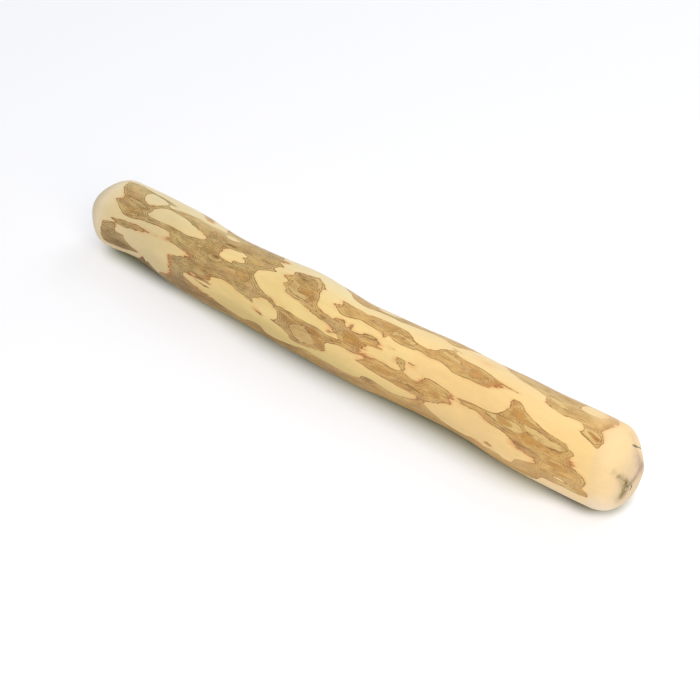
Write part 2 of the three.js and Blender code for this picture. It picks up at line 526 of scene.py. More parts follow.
        (85, 73.2), (88, 71.5), (92, 71), (96, 71), (97.5, 73.5), (95.5, 77.5), (93, 78.6), (89.5, 76.8),
        (87, 75.3),
    ),
    "thick_end_high": (
        (69, -27), (72, -21.5), (76, -15.8), (79.5, -12.7), (84, -10.6), (87, -6.3), (88.8, -1),
        (89.4, 3.5), (91.5, 6.5), (94.5, 9.8), (98, 11), (101.5, 9.8), (104.3, 9.8), (106, 14),
        (106.7, 18.5), (105.8, 23), (109, 26.2), (112, 30), (114.2, 33), (114.6, 28), (114.8, 20),
        (113.3, 13.5), (111.9, 8.5), (112.6, 2.5), (113.6, -5), (113.2, -10), (113.8, -16), (113.2, -24),
        (111.5, -33), (112, -45), (116, -54), (110, -60), (105, -58), (100, -62), (95, -66), (99, -72),
        (91, -75), (86, -69), (80, -72), (76, -81), (68, -79), (71, -71), (65, -66), (56, -69), (60, -61),
        (53, -55), (61, -50), (64, -42),
    ),
    "middle_back": (
        (1, -23), (3, -16.5), (6, -12), (11, -10), (14, -12.8), (18, -15.5), (22, -14.5), (25, -14),
        (28.5, -16.3), (32, -19), (36, -21), (41, -21), (44, -18), (46.3, -13.8), (49, -14.3), (51, -20),
        (53, -27), (55.5, -38), (55, -48), (62, -55), (53, -57), (49, -65), (42, -62), (38, -68), (45, -74),
        (36, -76), (30, -71), (24, -74), (21, -84), (14, -86), (15, -77), (9, -72), (2, -75), (-5, -82),
        (-11, -77), (-3, -70), (-7, -64), (-15, -61), (-8, -54), (-8, -46), (-3, -33),
    ),
    # On the back and the underside
    "back_thin_end": (
        (-113, -70), (-110, -62), (-104, -57), (-98, -60), (-93, -55), (-86, -57), (-82, -63), (-76, -66),
        (-71, -74), (-66, -77), (-61, -84), (-54, -86), (-58, -90), (-64, -89), (-68, -86), (-73, -91),
        (-79, -90), (-84, -96), (-90, -92), (-96, -97), (-101, -90), (-107, -89), (-111, -82),
    ),
    "back_left": (
        (-64, -105), (-57, -99), (-50, -101), (-44, -95), (-36, -93), (-30, -87), (-22, -88), (-16, -82),
        (-9, -83), (-14, -90), (-22, -94), (-25, -99), (-17, -101), (-10, -106), (-17, -109), (-26, -108),
        (-32, -113), (-40, -110), (-46, -116), (-52, -112), (-58, -119), (-67, -118), (-72, -111),
        (-66, -108),
    ),
    "back_middle": (
        (-8, -113), (-3, -106), (3, -104), (8, -98), (14, -95), (16, -86), (22, -84), (24, -94), (30, -97),
        (37, -95), (43, -98), (50, -97), (45, -102), (38, -103), (33, -108), (41, -112), (49, -116),
        (41, -119), (32, -117), (27, -122), (19, -118), (13, -124), (6, -119), (0, -122), (-6, -117),
        (-14, -117),
    ),
    "back_right": (
        (50, -92), (57, -86), (63, -89), (68, -84), (73, -90), (79, -91), (85, -87), (92, -91), (98, -89),
        (104, -95), (112, -98), (114, -104), (108, -108), (101, -105), (97, -110), (90, -108), (86, -115),
        (78, -113), (72, -119), (64, -115), (60, -109), (53, -110), (47, -105), (55, -99),
    ),
    "low_back_thin_end": (
        (-114, -124), (-110, -116), (-104, -112), (-99, -116), (-94, -111), (-87, -114), (-82, -121),
        (-77, -124), (-73, -131), (-66, -133), (-58, -130), (-51, -134), (-58, -140), (-66, -141),
        (-70, -147), (-77, -145), (-81, -153), (-89, -148), (-95, -153), (-100, -144), (-107, -143),
        (-112, -135),
    ),
    "low_back_left": (
        (-48, -131), (-42, -126), (-35, -129), (-29, -124), (-21, -126), (-16, -132), (-9, -131),
        (-4, -137), (5, -141), (0, -147), (-7, -146), (-11, -153), (-18, -151), (-22, -158), (-30, -160),
        (-34, -152), (-40, -154), (-44, -147), (-51, -150), (-57, -145), (-50, -140),
    ),
    "low_back_right": (
        (10, -131), (17, -127), (23, -130), (29, -125), (35, -129), (41, -127), (45, -133), (52, -129),
        (58, -133), (64, -139), (73, -141), (67, -147), (60, -146), (56, -154), (49, -151), (45, -160),
        (38, -155), (31, -160), (27, -152), (20, -153), (16, -146), (8, -145), (14, -138),
    ),
    "low_back_thick_end": (
        (76, -126), (82, -121), (88, -124), (94, -119), (100, -122), (106, -119), (112, -126), (115, -134),
        (111, -141), (114, -149), (107, -153), (102, -149), (98, -157), (91, -153), (87, -160), (80, -154),
        (83, -147), (77, -143), (80, -136), (72, -132),
    ),
    "underside_left": (
        (-62, 167), (-55, 162), (-48, 165), (-42, 159), (-34, 163), (-27, 160), (-20, 166), (-12, 168),
        (-3, 175), (-8, 181), (-17, 180), (-22, 187), (-31, 184), (-38, 190), (-45, 184), (-53, 186),
        (-57, 178), (-66, 175),
    ),
    "underside_right": (
        (26, 163), (33, 158), (39, 162), (46, 156), (52, 160), (60, 157), (66, 151), (73, 155), (80, 153),
        (88, 159), (83, 166), (76, 168), (72, 176), (64, 173), (59, 180), (50, 178), (45, 185), (37, 181),
        (33, 173), (24, 175), (30, 169),
    ),
    "underside_thick_end": (
        (94, 152), (99, 146), (104, 141), (109, 138), (113, 141), (116, 149), (111, 155), (114, 163),
        (107, 167), (103, 161), (99, 169), (93, 164), (97, 158),
    ),
    "underside_thin_end": (
        (-113, 172), (-108, 166), (-102, 169), (-97, 162), (-91, 166), (-87, 173), (-79, 177), (-84, 184),
        (-91, 182), (-95, 190), (-102, 186), (-107, 193), (-111, 184),
    ),
}
BARE = {
    # On the front and the top
    "thin_end_oval": (
        (-102.5, -9), (-101, -16), (-97, -16.5), (-93.5, -14.3), (-90.6, -9.5), (-90.5, -6), (-92.3, 0),
        (-94.2, 7), (-96.5, 10.6), (-98.6, 10), (-100.6, 5.5), (-102, -1),
    ),
    "thin_end_tongue": (
        (-94.3, 26), (-93.2, 21), (-93, 15.5), (-91.5, 8), (-89, 2.5), (-86, 0.3), (-81, 0), (-77, 1.5),
        (-73, 4.5), (-68, 7), (-64.5, 8.5), (-63.7, 13), (-65.5, 18.5), (-69, 22.5), (-74, 24.7),
        (-80, 25.2), (-84, 26.5), (-88, 28.8), (-92, 28.8),
    ),
    "left_window": (
        (-53.8, 15), (-53.2, 10.5), (-50.5, 7.5), (-47.5, 6.8), (-45.5, 6), (-43.8, 7.8), (-42.6, 10.3),
        (-44.5, 14), (-42.8, 16.5), (-42, 20), (-43.2, 23.3), (-46, 23.8), (-47, 26), (-46.8, 29),
        (-50, 28.8), (-52.3, 27), (-53.7, 23), (-53.3, 19),
    ),
    "left_back_window": (
        (-58.8, -15), (-58.8, -19), (-56.5, -21.5), (-53.5, -19), (-52, -15.5), (-54, -12), (-57, -12.3),
    ),
    "left_back_low_window": ((-57, -57), (-53, -52), (-48, -52), (-46, -56), (-50, -61), (-54, -61)),
    "thick_end_slit": ((103.5, 90), (106, 89), (109, 91), (107, 92)),
    "thick_end_back_window": ((78, -57), (83, -52), (89, -54), (97, -57), (92, -61), (86, -63), (81, -61)),
    "thick_end_window": (
        (99.8, -18), (100.8, -12.5), (103, -10), (106, -10.6), (108.6, -14.5), (109.6, -21), (108.8, -30),
        (106, -37), (102, -35), (100, -27),
    ),
    "middle_back_low_window": ((18, -53), (24, -49), (31, -50), (39, -56), (33, -59), (27, -57), (22, -60)),
    "middle_back_window": ((13, -24), (17, -21), (21, -23), (23, -29), (19, -34), (14, -31)),
    # On the back and the underside
    "back_thin_end_window": (
        (-105, -72), (-101, -67), (-96, -69), (-91, -68), (-88, -73), (-93, -77), (-97, -76), (-102, -80),
    ),
    "back_right_window": (
        (75, -98), (80, -96), (86, -99), (91, -98), (88, -103), (82, -102), (77, -106), (73, -103),
    ),
    "low_back_thin_window": ((-101, -125), (-95, -123), (-90, -127), (-85, -128), (-90, -133), (-97, -132)),
    "low_back_right_window": (
        (27, -140), (33, -136), (39, -139), (43, -138), (40, -144), (34, -143), (29, -147),
    ),
}
AMBER = {
    "saddle_amber": ((-109.5, 4), (-107, 2), (-104, 3), (-102, 8), (-101.5, 11), (-105, 11.3), (-108.5, 9)),
    "saddle_amber_low": ((-106, 33), (-103, 31), (-99, 31.5), (-98.5, 35), (-101, 37.5), (-104.5, 37)),
    "left_amber_back": ((-64.5, -3), (-63, -7), (-60.8, -6), (-60.5, -1.5), (-63, -0.5)),
    "left_amber_middle": (
        (-44, 34), (-42, 30.5), (-38.5, 30), (-37, 33), (-35.5, 38), (-36.5, 44), (-39, 46), (-42, 40),
    ),
    "left_amber_low": ((-60.5, 55), (-58, 53), (-55.5, 55), (-56.5, 59), (-58.5, 61.5), (-60.8, 59)),
    "left_amber_lower": ((-64.5, 78.5), (-62, 74.5), (-58.5, 72.6), (-60, 77), (-62.5, 79.5)),
    "eye_core": (
        (-14.2, 21.5), (-14, 18), (-12.3, 14.8), (-10.4, 12.3), (-9.4, 14.5), (-8.7, 18.5), (-7.3, 22.5),
        (-7.2, 25.5), (-8.4, 24), (-9.6, 21.6), (-12, 22.4),
    ),
    "low_core": (
        (-4.4, 62.5), (-3.4, 59), (-0.5, 59.6), (2, 61), (1.8, 64.6), (0.6, 66.8), (-1.6, 66), (-3.6, 65.2),
    ),
    "low_core_middle": ((-0.6, 71), (1.2, 69), (3.6, 71.5), (4.2, 75.5), (2, 76.8), (0, 74.5)),
    "low_core_tip": ((0.6, 81.8), (2, 78.4), (4, 77.6), (5.1, 79.5), (4.7, 82.2), (2.4, 83.6)),
    "arm_core": (
        (10.6, 42), (12.6, 39.4), (16, 40.2), (17.6, 44), (18, 48.2), (16.6, 51.6), (14, 53.6),
        (11.6, 52.6), (12.2, 48), (11.4, 44.6),
    ),
    "high_core_left": ((20.4, 6.5), (22.6, 3.8), (25.6, 4.6), (27.6, 7), (24.6, 9), (21.6, 8.8)),
    "high_dash": ((29, 16.8), (31, 15.6), (32.6, 17), (30.6, 18.2)),
    "high_core_right": (
        (59.8, 17.5), (60.6, 13), (62.6, 10.6), (65, 11), (66.4, 14), (66.2, 18.5), (63.6, 21.4), (61, 21),
    ),
    "right_core_left": ((26, 67.5), (29.4, 65.6), (32.8, 67.6), (33.2, 71.4), (30, 72.6), (26.8, 71.6)),
    "right_core_low": ((34.4, 76), (38.6, 74.6), (43.6, 77.4), (41, 79.8), (36.4, 79.4)),
    "right_core": ((50, 67.5), (51.4, 64.8), (53.2, 64.4), (54.4, 67), (53.4, 70), (50.8, 69.8)),
    "thick_core_dot": ((103, 51.2), (104.6, 50.8), (105.2, 52), (103.6, 52.8)),
    "thick_core_left": ((78, 50.4), (80.6, 48.4), (83.8, 50.4), (84.6, 53.4), (82, 55.6), (78.8, 54)),
    "thick_core": (
        (88.8, 55), (91, 51.4), (93.6, 55), (98, 56.6), (103.8, 56.8), (104, 60.4), (99, 61.6), (94.4, 62),
        (91.6, 63.8), (89, 60.6),
    ),
    "thick_core_high": (
        (81.8, 34), (83.6, 30.4), (85.6, 32), (87.2, 37), (90, 40), (94, 42.4), (90, 43.2), (86, 42),
        (83, 39.4),
    ),
    "thick_core_low": ((101.4, 74), (105, 72.4), (108.4, 74.4), (106.4, 77.4), (102.4, 78)),
    "thick_core_streak": ((102.4, 83), (106, 81.6), (110.4, 83.6), (106.4, 85)),
    "corner_core": (
        (108.4, 18), (109, 16.6), (110.8, 18.3), (112.4, 19.6), (113.7, 20.4), (113.7, 22.4), (112.7, 24.6),
        (111.8, 23.4), (110.3, 20.9),
    ),
    "hidden_core_left": ((-48, -104), (-42, -100), (-34, -101), (-28, -104), (-36, -107), (-44, -108)),
    "hidden_core_middle": ((0, -109), (8, -106), (18, -108), (10, -113)),
    "hidden_core_right": ((58, -97), (64, -94), (71, -98), (65, -104)),
    "hidden_core_thin_end": ((-88, -132), (-80, -131), (-75, -137), (-82, -141)),
    "hidden_core_low": ((-36, -142), (-28, -137), (-20, -142), (-29, -148)),
    "hidden_core_low_right": ((46, -139), (52, -136), (59, -140), (51, -145)),
}
PALE = {
    "saddle_pale_low": (
        (-108, 10), (-105, 13), (-101, 13), (-98, 15.5), (-96, 19), (-98, 22), (-102, 19.5), (-106.5, 17),
    ),
    "saddle_pale_dot": ((-98.2, 36.5), (-96.8, 35), (-95.3, 36.7), (-96.5, 38.5)),
    "left_pale_arc": (
        (-62, -9.5), (-60.6, -9), (-58.8, -3.5), (-54, 0.2), (-46, 0.6), (-44, 2), (-52, 3), (-59, 2.2),
        (-61.5, -3.5),
    ),
    "eye_pale_low": (
        (-20, 12), (-18, 10), (-15.6, 12), (-15.2, 17), (-15, 22.5), (-11, 23.6), (-9, 25.5), (-10, 29),
        (-14, 30.2), (-17.5, 27.5), (-19.6, 23), (-19.4, 17),
    ),
    "eye_pale_high": (
        (-20.8, -3), (-18.5, -7), (-15, -9.8), (-13, -13.6), (-10.8, -8.5), (-8.8, -3.5), (-8.3, 2.5),
        (-8.9, 8), (-10, 3), (-11.2, -2.5), (-13, -6), (-16, -6.2), (-18.6, -2.5),
    ),
    "low_pale": (
        (-12, 70), (-9.5, 65), (-5.5, 62.6), (-3.2, 67.3), (-1.4, 72), (0.2, 77), (-0.2, 81.5),
        (-3.4, 85.6), (-7.4, 88.6), (-9.4, 86), (-10.4, 81), (-12.2, 76),
    ),
    "low_pale_high": ((-18.2, 59.5), (-16, 56.5), (-13.2, 57.3), (-13.2, 60.4), (-15.4, 62.4)),
    "high_pale_left": (
        (27, 11.5), (31, 10.8), (34.5, 12.6), (38, 16), (35.6, 18.8), (32.4, 15.6), (29.6, 15),
        (27.4, 16.4),
    ),
    "high_pale_middle": ((46.8, 8), (50, 6.6), (54, 9.4), (56.4, 12.6), (52.6, 13.8), (48, 12.4)),
    "high_pale_right": (
        (66.9, 12), (68, 15), (67.8, 19), (65.4, 22.8), (62, 24), (64.6, 22.6), (67, 19.2), (67.2, 15.4),
    ),
    "right_pale_low": ((38, 71.5), (42, 71.6), (46.4, 75.4), (46.8, 77.4), (42.6, 75.6), (38.6, 73.2)),
    "thick_pale_left": (
        (73, 54), (76, 51), (79.5, 47.8), (83.4, 46.6), (86.4, 48), (88.6, 50.8), (89.4, 54.6), (87, 58),
        (83.6, 58.4), (79.6, 57), (75.6, 55.6),
    ),
    "thick_pale_right": (
        (87.4, 43.6), (91, 43.4), (95, 44.8), (99, 47.2), (103, 48.2), (105.4, 50), (106, 51.8),
        (104.4, 54.4), (101.6, 57), (98, 57.2), (94, 56), (91.2, 52.6), (89.2, 48.6),
    ),
    "corner_pale": (
        (105.2, 15.4), (107.6, 12.8), (111.4, 14.4), (113.8, 19), (113.9, 25), (112.8, 29), (110.6, 26.8),
        (107.4, 23), (105.6, 19.6),
    ),
    "upper_pale": ((89, -10), (92, -9.6), (96, -4.4), (98, 0.6), (95, 1.2), (91.4, -3), (89.4, -6.4)),
    "hidden_pale": ((-36, -97), (-30, -91), (-25, -93), (-28, -99), (-34, -101)),
    "hidden_pale_right": ((84, -135), (92, -130), (102, -134), (97, -145), (87, -147)),
}
OUTLINES = {Cover.BARK: BARK, Cover.BARE: BARE, Cover.AMBER: AMBER, Cover.PALE: PALE}


@dataclass(frozen=True)
class BarkMap:
    """Measures how far each point of the surface is inside the bark and its inner layers."""

    girth_radius: float = 14.6  # turns an angle into a distance round the stick
    grain_stretch: float = 1.35  # distances along the grain count for less than those across it
    reach: float = 8.0  # past this the distance isn't measured
    steps: int = 4  # points on the smooth outline between two given ones

    def flat(self, along: np.ndarray, angle: np.ndarray) -> np.ndarray:
        """Lays places out flat: along the grain, shortened, and across it, in mm."""
        across = np.radians(angle) * self.girth_radius
        return np.stack(np.broadcast_arrays(along / self.grain_stretch, across), axis=-1)

    def smooth_outline(self, outline: tuple[Place, ...]) -> np.ndarray:
        """Draws a smooth closed curve through an outline's points.

        Args:
            outline: The points, as (along, angle).

        Returns:
            The curve's points, laid out flat.
        """
        given = np.array(outline, float)
        p = self.flat(given[:, 0], given[:, 1])
        before, after, next_but_one = np.roll(p, 1, 0), np.roll(p, -1, 0), np.roll(p, -2, 0)
        curve = []
        for t in np.arange(self.steps) / self.steps:
            curve.append(
                0.5 * (2 * p + (after - before) * t)
                + 0.5 * (2 * before - 5 * p + 4 * after - next_but_one) * t**2
                + 0.5 * (3 * p - before - 3 * after + next_but_one) * t**3
            )
        return np.stack(curve, axis=1).reshape(-1, 2)

    @staticmethod
    def signed_distance(points: np.ndarray, loop: np.ndarray) -> np.ndarray:
        """Measures how far points are from a closed loop.

        Args:
            points: The points.
            loop: The loop's corners.

        Returns:
            The distance of each point, positive inside the loop.
        """
        nearest = np.full(len(points), np.inf)
        inside = np.zeros(len(points), bool)
        for a, b in zip(loop, np.roll(loop, -1, 0)):
            edge, from_a = b - a, points - a
            share = np.clip(from_a @ edge / max(edge @ edge, TINY), 0, 1)
            gap = from_a - share[:, None] * edge
            nearest = np.minimum(nearest, (gap**2).sum(1))
            if a[1] != b[1]:
                spans = (a[1] > points[:, 1]) != (b[1] > points[:, 1])
                crossing = a[0] + (points[:, 1] - a[1]) * edge[0] / edge[1]
                inside ^= spans & (points[:, 0] < crossing)
        return np.where(inside, 1, -1) * np.sqrt(nearest)

    def depths(self, along: np.ndarray, angle: np.ndarray) -> dict[Cover, np.ndarray]:
        """How far each point is inside the outlines of each kind, in mm. It is negative outside them.

        Args:
            along: The points' places along the stick.
            angle: Their angles round it.

        Returns:
            The depth for each kind, no larger than the reach on either side. For the bark, the bare
            windows in it are taken out.
        """
        depths = {cover: np.full(len(along), -self.reach) for cover in Cover}
        outlines = [(cover, outline) for cover, table in OUTLINES.items() for outline in table.values()]
        for cover, outline in outlines:
            loop = self.smooth_outline(outline)
            middle = np.mean([turn for _, turn in outline])
            points = self.flat(along, middle + angle_between(angle, middle))
            low, high = loop.min(0) - self.reach, loop.max(0) + self.reach
            near = np.flatnonzero(((points > low) & (points < high)).all(1))
            kind = depths[cover]
            kind[near] = np.maximum(kind[near], self.signed_distance(points[near], loop))
        depths[Cover.BARK] = np.minimum(depths[Cover.BARK], -depths.pop(Cover.BARE))
        return {cover: np.clip(depth, -self.reach, self.reach) for cover, depth in depths.items()}


# Colour that comes and goes in places


class Tint(Enum):
    """What a spot of colour is. Each value is the name of the surface attribute that holds it."""

    RUSSET = "russet"
    UMBER_AND_SHADE = "umber_and_shade"
    ASHEN = "ashen"
    SOFT = "soft"
    RINGED = "ringed"
    STAINED = "stained"
    SMUDGED_AND_SHADED = "smudged_and_shaded"
    CORED = "cored"
    BLUSHED = "blushed"


@dataclass(frozen=True)
class Spot:
    """A soft-edged spot on the shaft: its place, its length and width in mm, and its strength."""

    along: float
    angle: float
    length: float
    width: float
    strength: float

    def weight(self, along: np.ndarray, angle: np.ndarray, radius: float) -> np.ndarray:
        """Works out the spot's strength at each point.

        Args:
            along: The points' places along the stick.
            angle: Their angles round it.
            radius: The stick's mean radius.

        Returns:
            The strengths.
        """
        lengthwise = (along - self.along) / self.length
        sideways = np.radians(angle_between(angle, self.angle)) * radius / self.width
        return self.strength * np.exp(-(lengthwise**2) - sideways**2)


@dataclass(frozen=True)
class EndStain:
    """A soft-edged stain, smudge or patch of painted shade on an end, at a point measured from the middle
    line in mm.
    """

    along: float
    across: float
    height: float
    size: float
    strength: float

    def weight(self, from_heart: np.ndarray) -> np.ndarray:
        """The stain's strength at each point."""
        centre = np.array([self.along, self.across, self.height])
        return self.strength * np.exp(-(((from_heart - centre) / self.size) ** 2).sum(-1))


# Each row: along, angle, length, width, strength
SPOT_ROWS = {
    Tint.RUSSET: (
        (-106.5, 68, 1.8, 1.6, 0.6), (-109, 19, 1.2, 1.6, 0.6), (-94, 14, 1.8, 2.2, 0.25),
        (-96, 56, 10, 2, 0.5), (-78.5, 43, 2.2, 1.6, 0.9), (-65.5, 11, 2.2, 2, 0.7),
        (-66.5, 49, 3.4, 1.6, 1.1), (-74.5, 69, 3, 3, 1.0), (-73.5, 88, 3, 4, 0.55),
        (-76.5, 106, 3, 3, 0.7), (-53.5, 66, 2, 2.2, 0.8), (-62.5, 76, 2.4, 1.4, 1.1),
        (-60, 97, 13, 3.4, 0.9), (-54.5, 14, 1.4, 2.2, 0.8), (-28.5, -14, 2.4, 1.8, 1.0),
        (-71, -28, 3, 3, 0.7), (-28.5, 76.5, 3, 1.2, 1.2), (-24, 51, 3, 1, 0.5), (-23.5, 9, 1.6, 2.4, 0.7),
        (-7, 38, 2.2, 0.8, 0.7), (1, 13, 1.6, 1.8, 0.8), (7, 30, 3.2, 1.2, 0.8), (12, 30, 1.2, 1.6, 0.6),
        (3, 45.5, 4, 0.9, 0.6), (23.6, 21.6, 1.6, 0.8, 0.9), (-45.5, 57.5, 2, 1, 0.7),
        (77.2, 94, 2.2, 1, 0.7), (30.2, 35, 2.2, 0.7, 0.6), (40.2, 45, 2.2, 0.6, 0.5),
        (22.5, 33, 4, 1, 0.5), (21.5, 56, 4.4, 3, 1.2), (26, 41.5, 1.8, 1.2, 0.9), (33, 47, 1.4, 1.2, 0.8),
        (45.5, 58, 1.8, 1.6, 1.0), (59, 61, 1.4, 2.4, 1.1), (46, 88, 3, 1.4, 0.9), (41, 87, 3.4, 1.2, 0.6),
        (73, 14, 3, 1.8, 1.0), (69, 21, 4, 1.6, 0.8), (63, 60, 2.4, 1.2, 0.5), (74, 61.5, 3.4, 1, 0.6),
        (81.5, 24, 1.6, 1.4, 0.8), (88, 73.5, 5, 1.6, 1.2), (95.5, 79, 2, 2, 0.9),
        (108.5, 63, 2.2, 1.8, 1.1), (112.4, -8, 1.4, 4, 0.9), (90.5, 4, 2, 1.2, 0.6), (72, 104, 3, 2, 0.7),
        (79, 9, 3, 0.6, 0.8), (-56, -98, 3, 3, 0.9), (30, -110, 3, 3, 0.9), (-108, -70, 3, 3, 0.9),
        (97, -104, 3, 3, 1.0), (-2, -146, 4, 3, 0.9), (-58, -88, 4, 2, 0.9), (-12, -85, 3.4, 2, 0.9),
        (46, -116, 4, 2.4, 1.0), (70, -143, 4, 2.4, 0.9), (112, -146, 2.6, 4, 0.9), (-80, 179, 4, 3, 0.9),
        (84, 160, 3, 3, 0.8),
    ),
    # Dark brown marks; the long spots low on the front, at 103° to 114°, are painted shade
    Tint.UMBER_AND_SHADE: (
        (-54.1, 30.6, 1.1, 0.45, 1.3), (25, 36, 1.2, 0.5, 0.7), (30, -131, 1.2, 0.6, 0.8),
        (-85, -88, 1.2, 0.6, 0.7), (24.6, 93.2, 1.8, 0.8, 0.8), (-104, 103, 8, 3, 1.1),
        (-91, 108, 5, 4, 1.8), (-112.5, 114, 2.6, 2.2, 1.4), (-15, -1, 3.6, 2, 0.35),
        (-15, 68, 3, 2.6, 0.25), (3, 79, 2.4, 1.6, 0.4), (-1, 62, 4.4, 1.6, 0.3), (1, 37, 5, 1.6, 0.2),
        (-62, 108, 12, 3.6, 0.75), (-16.6, 2, 1.0, 0.45, 0.9), (-54, 30.2, 1.4, 0.3, 0.9),
        (94.5, 73, 2.2, 0.9, 0.7), (89, 71, 3.4, 0.7, 0.5), (-48, 107, 9, 2.2, 0.5),
        (-22, 114, 12, 2.4, 0.6), (24, 97, 2.4, 1.2, 0.5), (17, 112, 7, 2, 0.4), (35.5, 47, 1.8, 1.4, 0.3),
        (20.5, 34.5, 4, 0.6, 0.6),
    ),
    Tint.ASHEN: (
        (-108, 84, 5.5, 4, 0.7), (-99, 58, 6, 1.6, 0.4), (6, 44, 4, 2, 0.45), (-70, 92, 5, 3, 0.5),
        (-95, -22, 9, 3, 0.6), (-56, -4, 5, 2, 0.3), (-37, -14, 6, 3, 0.45), (22, -16, 9, 3, 0.5),
        (96, -12, 12, 5, 0.2), (76, -14, 6, 3, 0.35),
    ),
    Tint.SOFT: (
        (94, 98, 11, 3.6, 0.2), (92, -6, 7, 3, 0.5), (50, -5, 3, 1.6, 0.8), (110, 100, 6, 4, 0.4),
        (109, -20, 5, 6, 1.0), (78, 106, 14, 4, 0.35), (76, -20, 9, 4, 0.5), (-74, -22, 12, 4, 0.9),
        (-56, -18, 6, 2.6, 0.9), (34, 95, 9, 3, 0.35),
    ),
    Tint.RINGED: (
        (-109.5, 77.5, 2.6, 2.3, 3.0), (30, -131, 4, 2.2, 2.2), (-85, -88, 4, 2, 2.2),
        (24.6, 93.2, 3, 1.6, 1.6), (-54.3, 31.5, 3.2, 1.6, 1.6), (-59.8, -7, 3, 1.7, 2.6),
    ),
    Tint.CORED: ((111.4, 21.4, 4.6, 2.6, 1.0),),
    Tint.BLUSHED: ((62.5, -11.5, 4, 1.6, 0.35),),
}
SPOTS = {tint: [Spot(*row) for row in rows] for tint, rows in SPOT_ROWS.items()}

# Each row: along, across, height, size, strength
END_STAIN_ROWS = {
    Tint.STAINED: (
        (123.4, -8.5, 6.1, 1.2, 0.75), (121.9, -9.6, 8.0, 1.3, 0.25), (124.3, -7.4, 4.2, 1.5, 0.5),
        (124.7, -6.4, 2.4, 1.8, 0.7), (124.9, -5.2, 0.8, 1.9, 0.75), (124.9, -6.4, -1.2, 2.2, 0.75),
        (124.7, -7.6, -3.2, 1.9, 0.6), (125.0, -3.2, -0.6, 1.1, 0.5), (-125.0, 1.6, -1.0, 2.2, 0.5),
        (-122.0, -8.5, -7.5, 1.8, 0.4),
    ),
    # Mauve smudges; the two widest on the thick end's face, 4 to 7 mm up, are painted shade
    Tint.SMUDGED_AND_SHADED: (
        (125.0, -2.4, 0.5, 1.5, 0.7), (124.9, -0.6, 1.0, 1.5, 0.7), (124.8, 1.8, 1.6, 1.9, 0.8),
        (124.6, 3.6, 2.2, 2.2, 0.9), (124.0, 4.0, 4.4, 2.8, 0.65), (123.2, 3.0, 7.0, 3.0, 0.6),
        (118.7, 6.1, 11.0, 2.0, 0.35), (121.5, -6.0, -9.0, 2.6, 0.3), (-123.5, 6.5, 5.0, 3.4, 0.5),
        (-124.0, -5.5, 6.5, 3.0, 0.4),
    ),
}
END_STAINS = {tint: [EndStain(*row) for row in rows] for tint, rows in END_STAIN_ROWS.items()}


@dataclass(frozen=True)
class Pit:
    """A small hollow in an end, painted dark inside as shade.

    Attributes:
        end: -1 for the thin end and 1 for the thick one.
        across: Its centre, across from the middle line, in mm.
        height: Its centre, up from the middle line.
        run: Half its length.
        width: Half its width.
        depth: How deep it is.
        slope: How its long way slopes, in degrees from level.
        mark: Half the width of the painted shade in it.
        is_pith: Whether it is the soft pith: a painted highlight inside a broken ring of painted shade.
    """

    end: int
    across: float
    height: float
    run: float
    width: float
    depth: float
    slope: float
    mark: float
    is_pith: bool = False

    def share(self, from_heart: np.ndarray, end: np.ndarray) -> np.ndarray:
        """What share of its depth the pit has at each point.

        Args:
            from_heart: The points, measured from the middle line.
            end: The end that each point is on, or 0 on the shaft.

        Returns:
            The shares.
        """
        turn = math.radians(self.slope)
        y, z = from_heart[..., 1] - self.across, from_heart[..., 2] - self.height
        lengthwise = (y * math.cos(turn) + z * math.sin(turn)) / self.run
        sideways = (z * math.cos(turn) - y * math.sin(turn)) / self.width
        return (end == self.end) * np.exp(-(lengthwise**2) - sideways**2)


PITS = (
    Pit(1, -2.8, -2.1, 0.9, 0.7, 0.4, 40, 0.6, is_pith=True),
    Pit(1, 5.1, 8.4, 3.2, 0.6, 0.3, -43, 0.45),
    Pit(1, 8.6, 5.1, 4.6, 0.5, 0.2, -44, 0.2),
    Pit(-1, 1.6, -1.0, 0.9, 0.7, 0.35, 10, 0.6, is_pith=True),
    Pit(-1, 3.8, -1.8, 2.4, 0.5, 0.2, -18, 0.15),
)


# The finish


@dataclass(frozen=True)
class Ramp:
    """A smooth change between two values.

    Attributes:
        low: Where it starts, in what it follows. It may be more than high.
        high: Where it is done.
        start: Its value before it starts.
        end: Its value once it is done.
    """

    low: Amount
    high: Amount
    start: Amount = 0.0
    end: Amount = 1.0


@dataclass(frozen=True)
class Pattern:
    """Smooth noise about 0, from about -0.5 to 0.5 times its strength.

    Attributes:
        along: How many times a millimetre it changes along the grain.
        across: How many times a millimetre it changes across the grain.
        detail: How many finer layers it has.
        rough: How strong they are.
        strength: What it is multiplied by.
        ramp: What it is put through, if anything.
    """

    along: float
    across: float
    detail: float = 2.0
    rough: float = 0.5
    strength: float = 1.0
    ramp: Ramp | None = None


LINE_CORE = 0.3  # the share of a line's half width that has its full strength
NOISE_MIDDLE = 0.5  # of the noise that Blender gives, which runs from 0 to 1


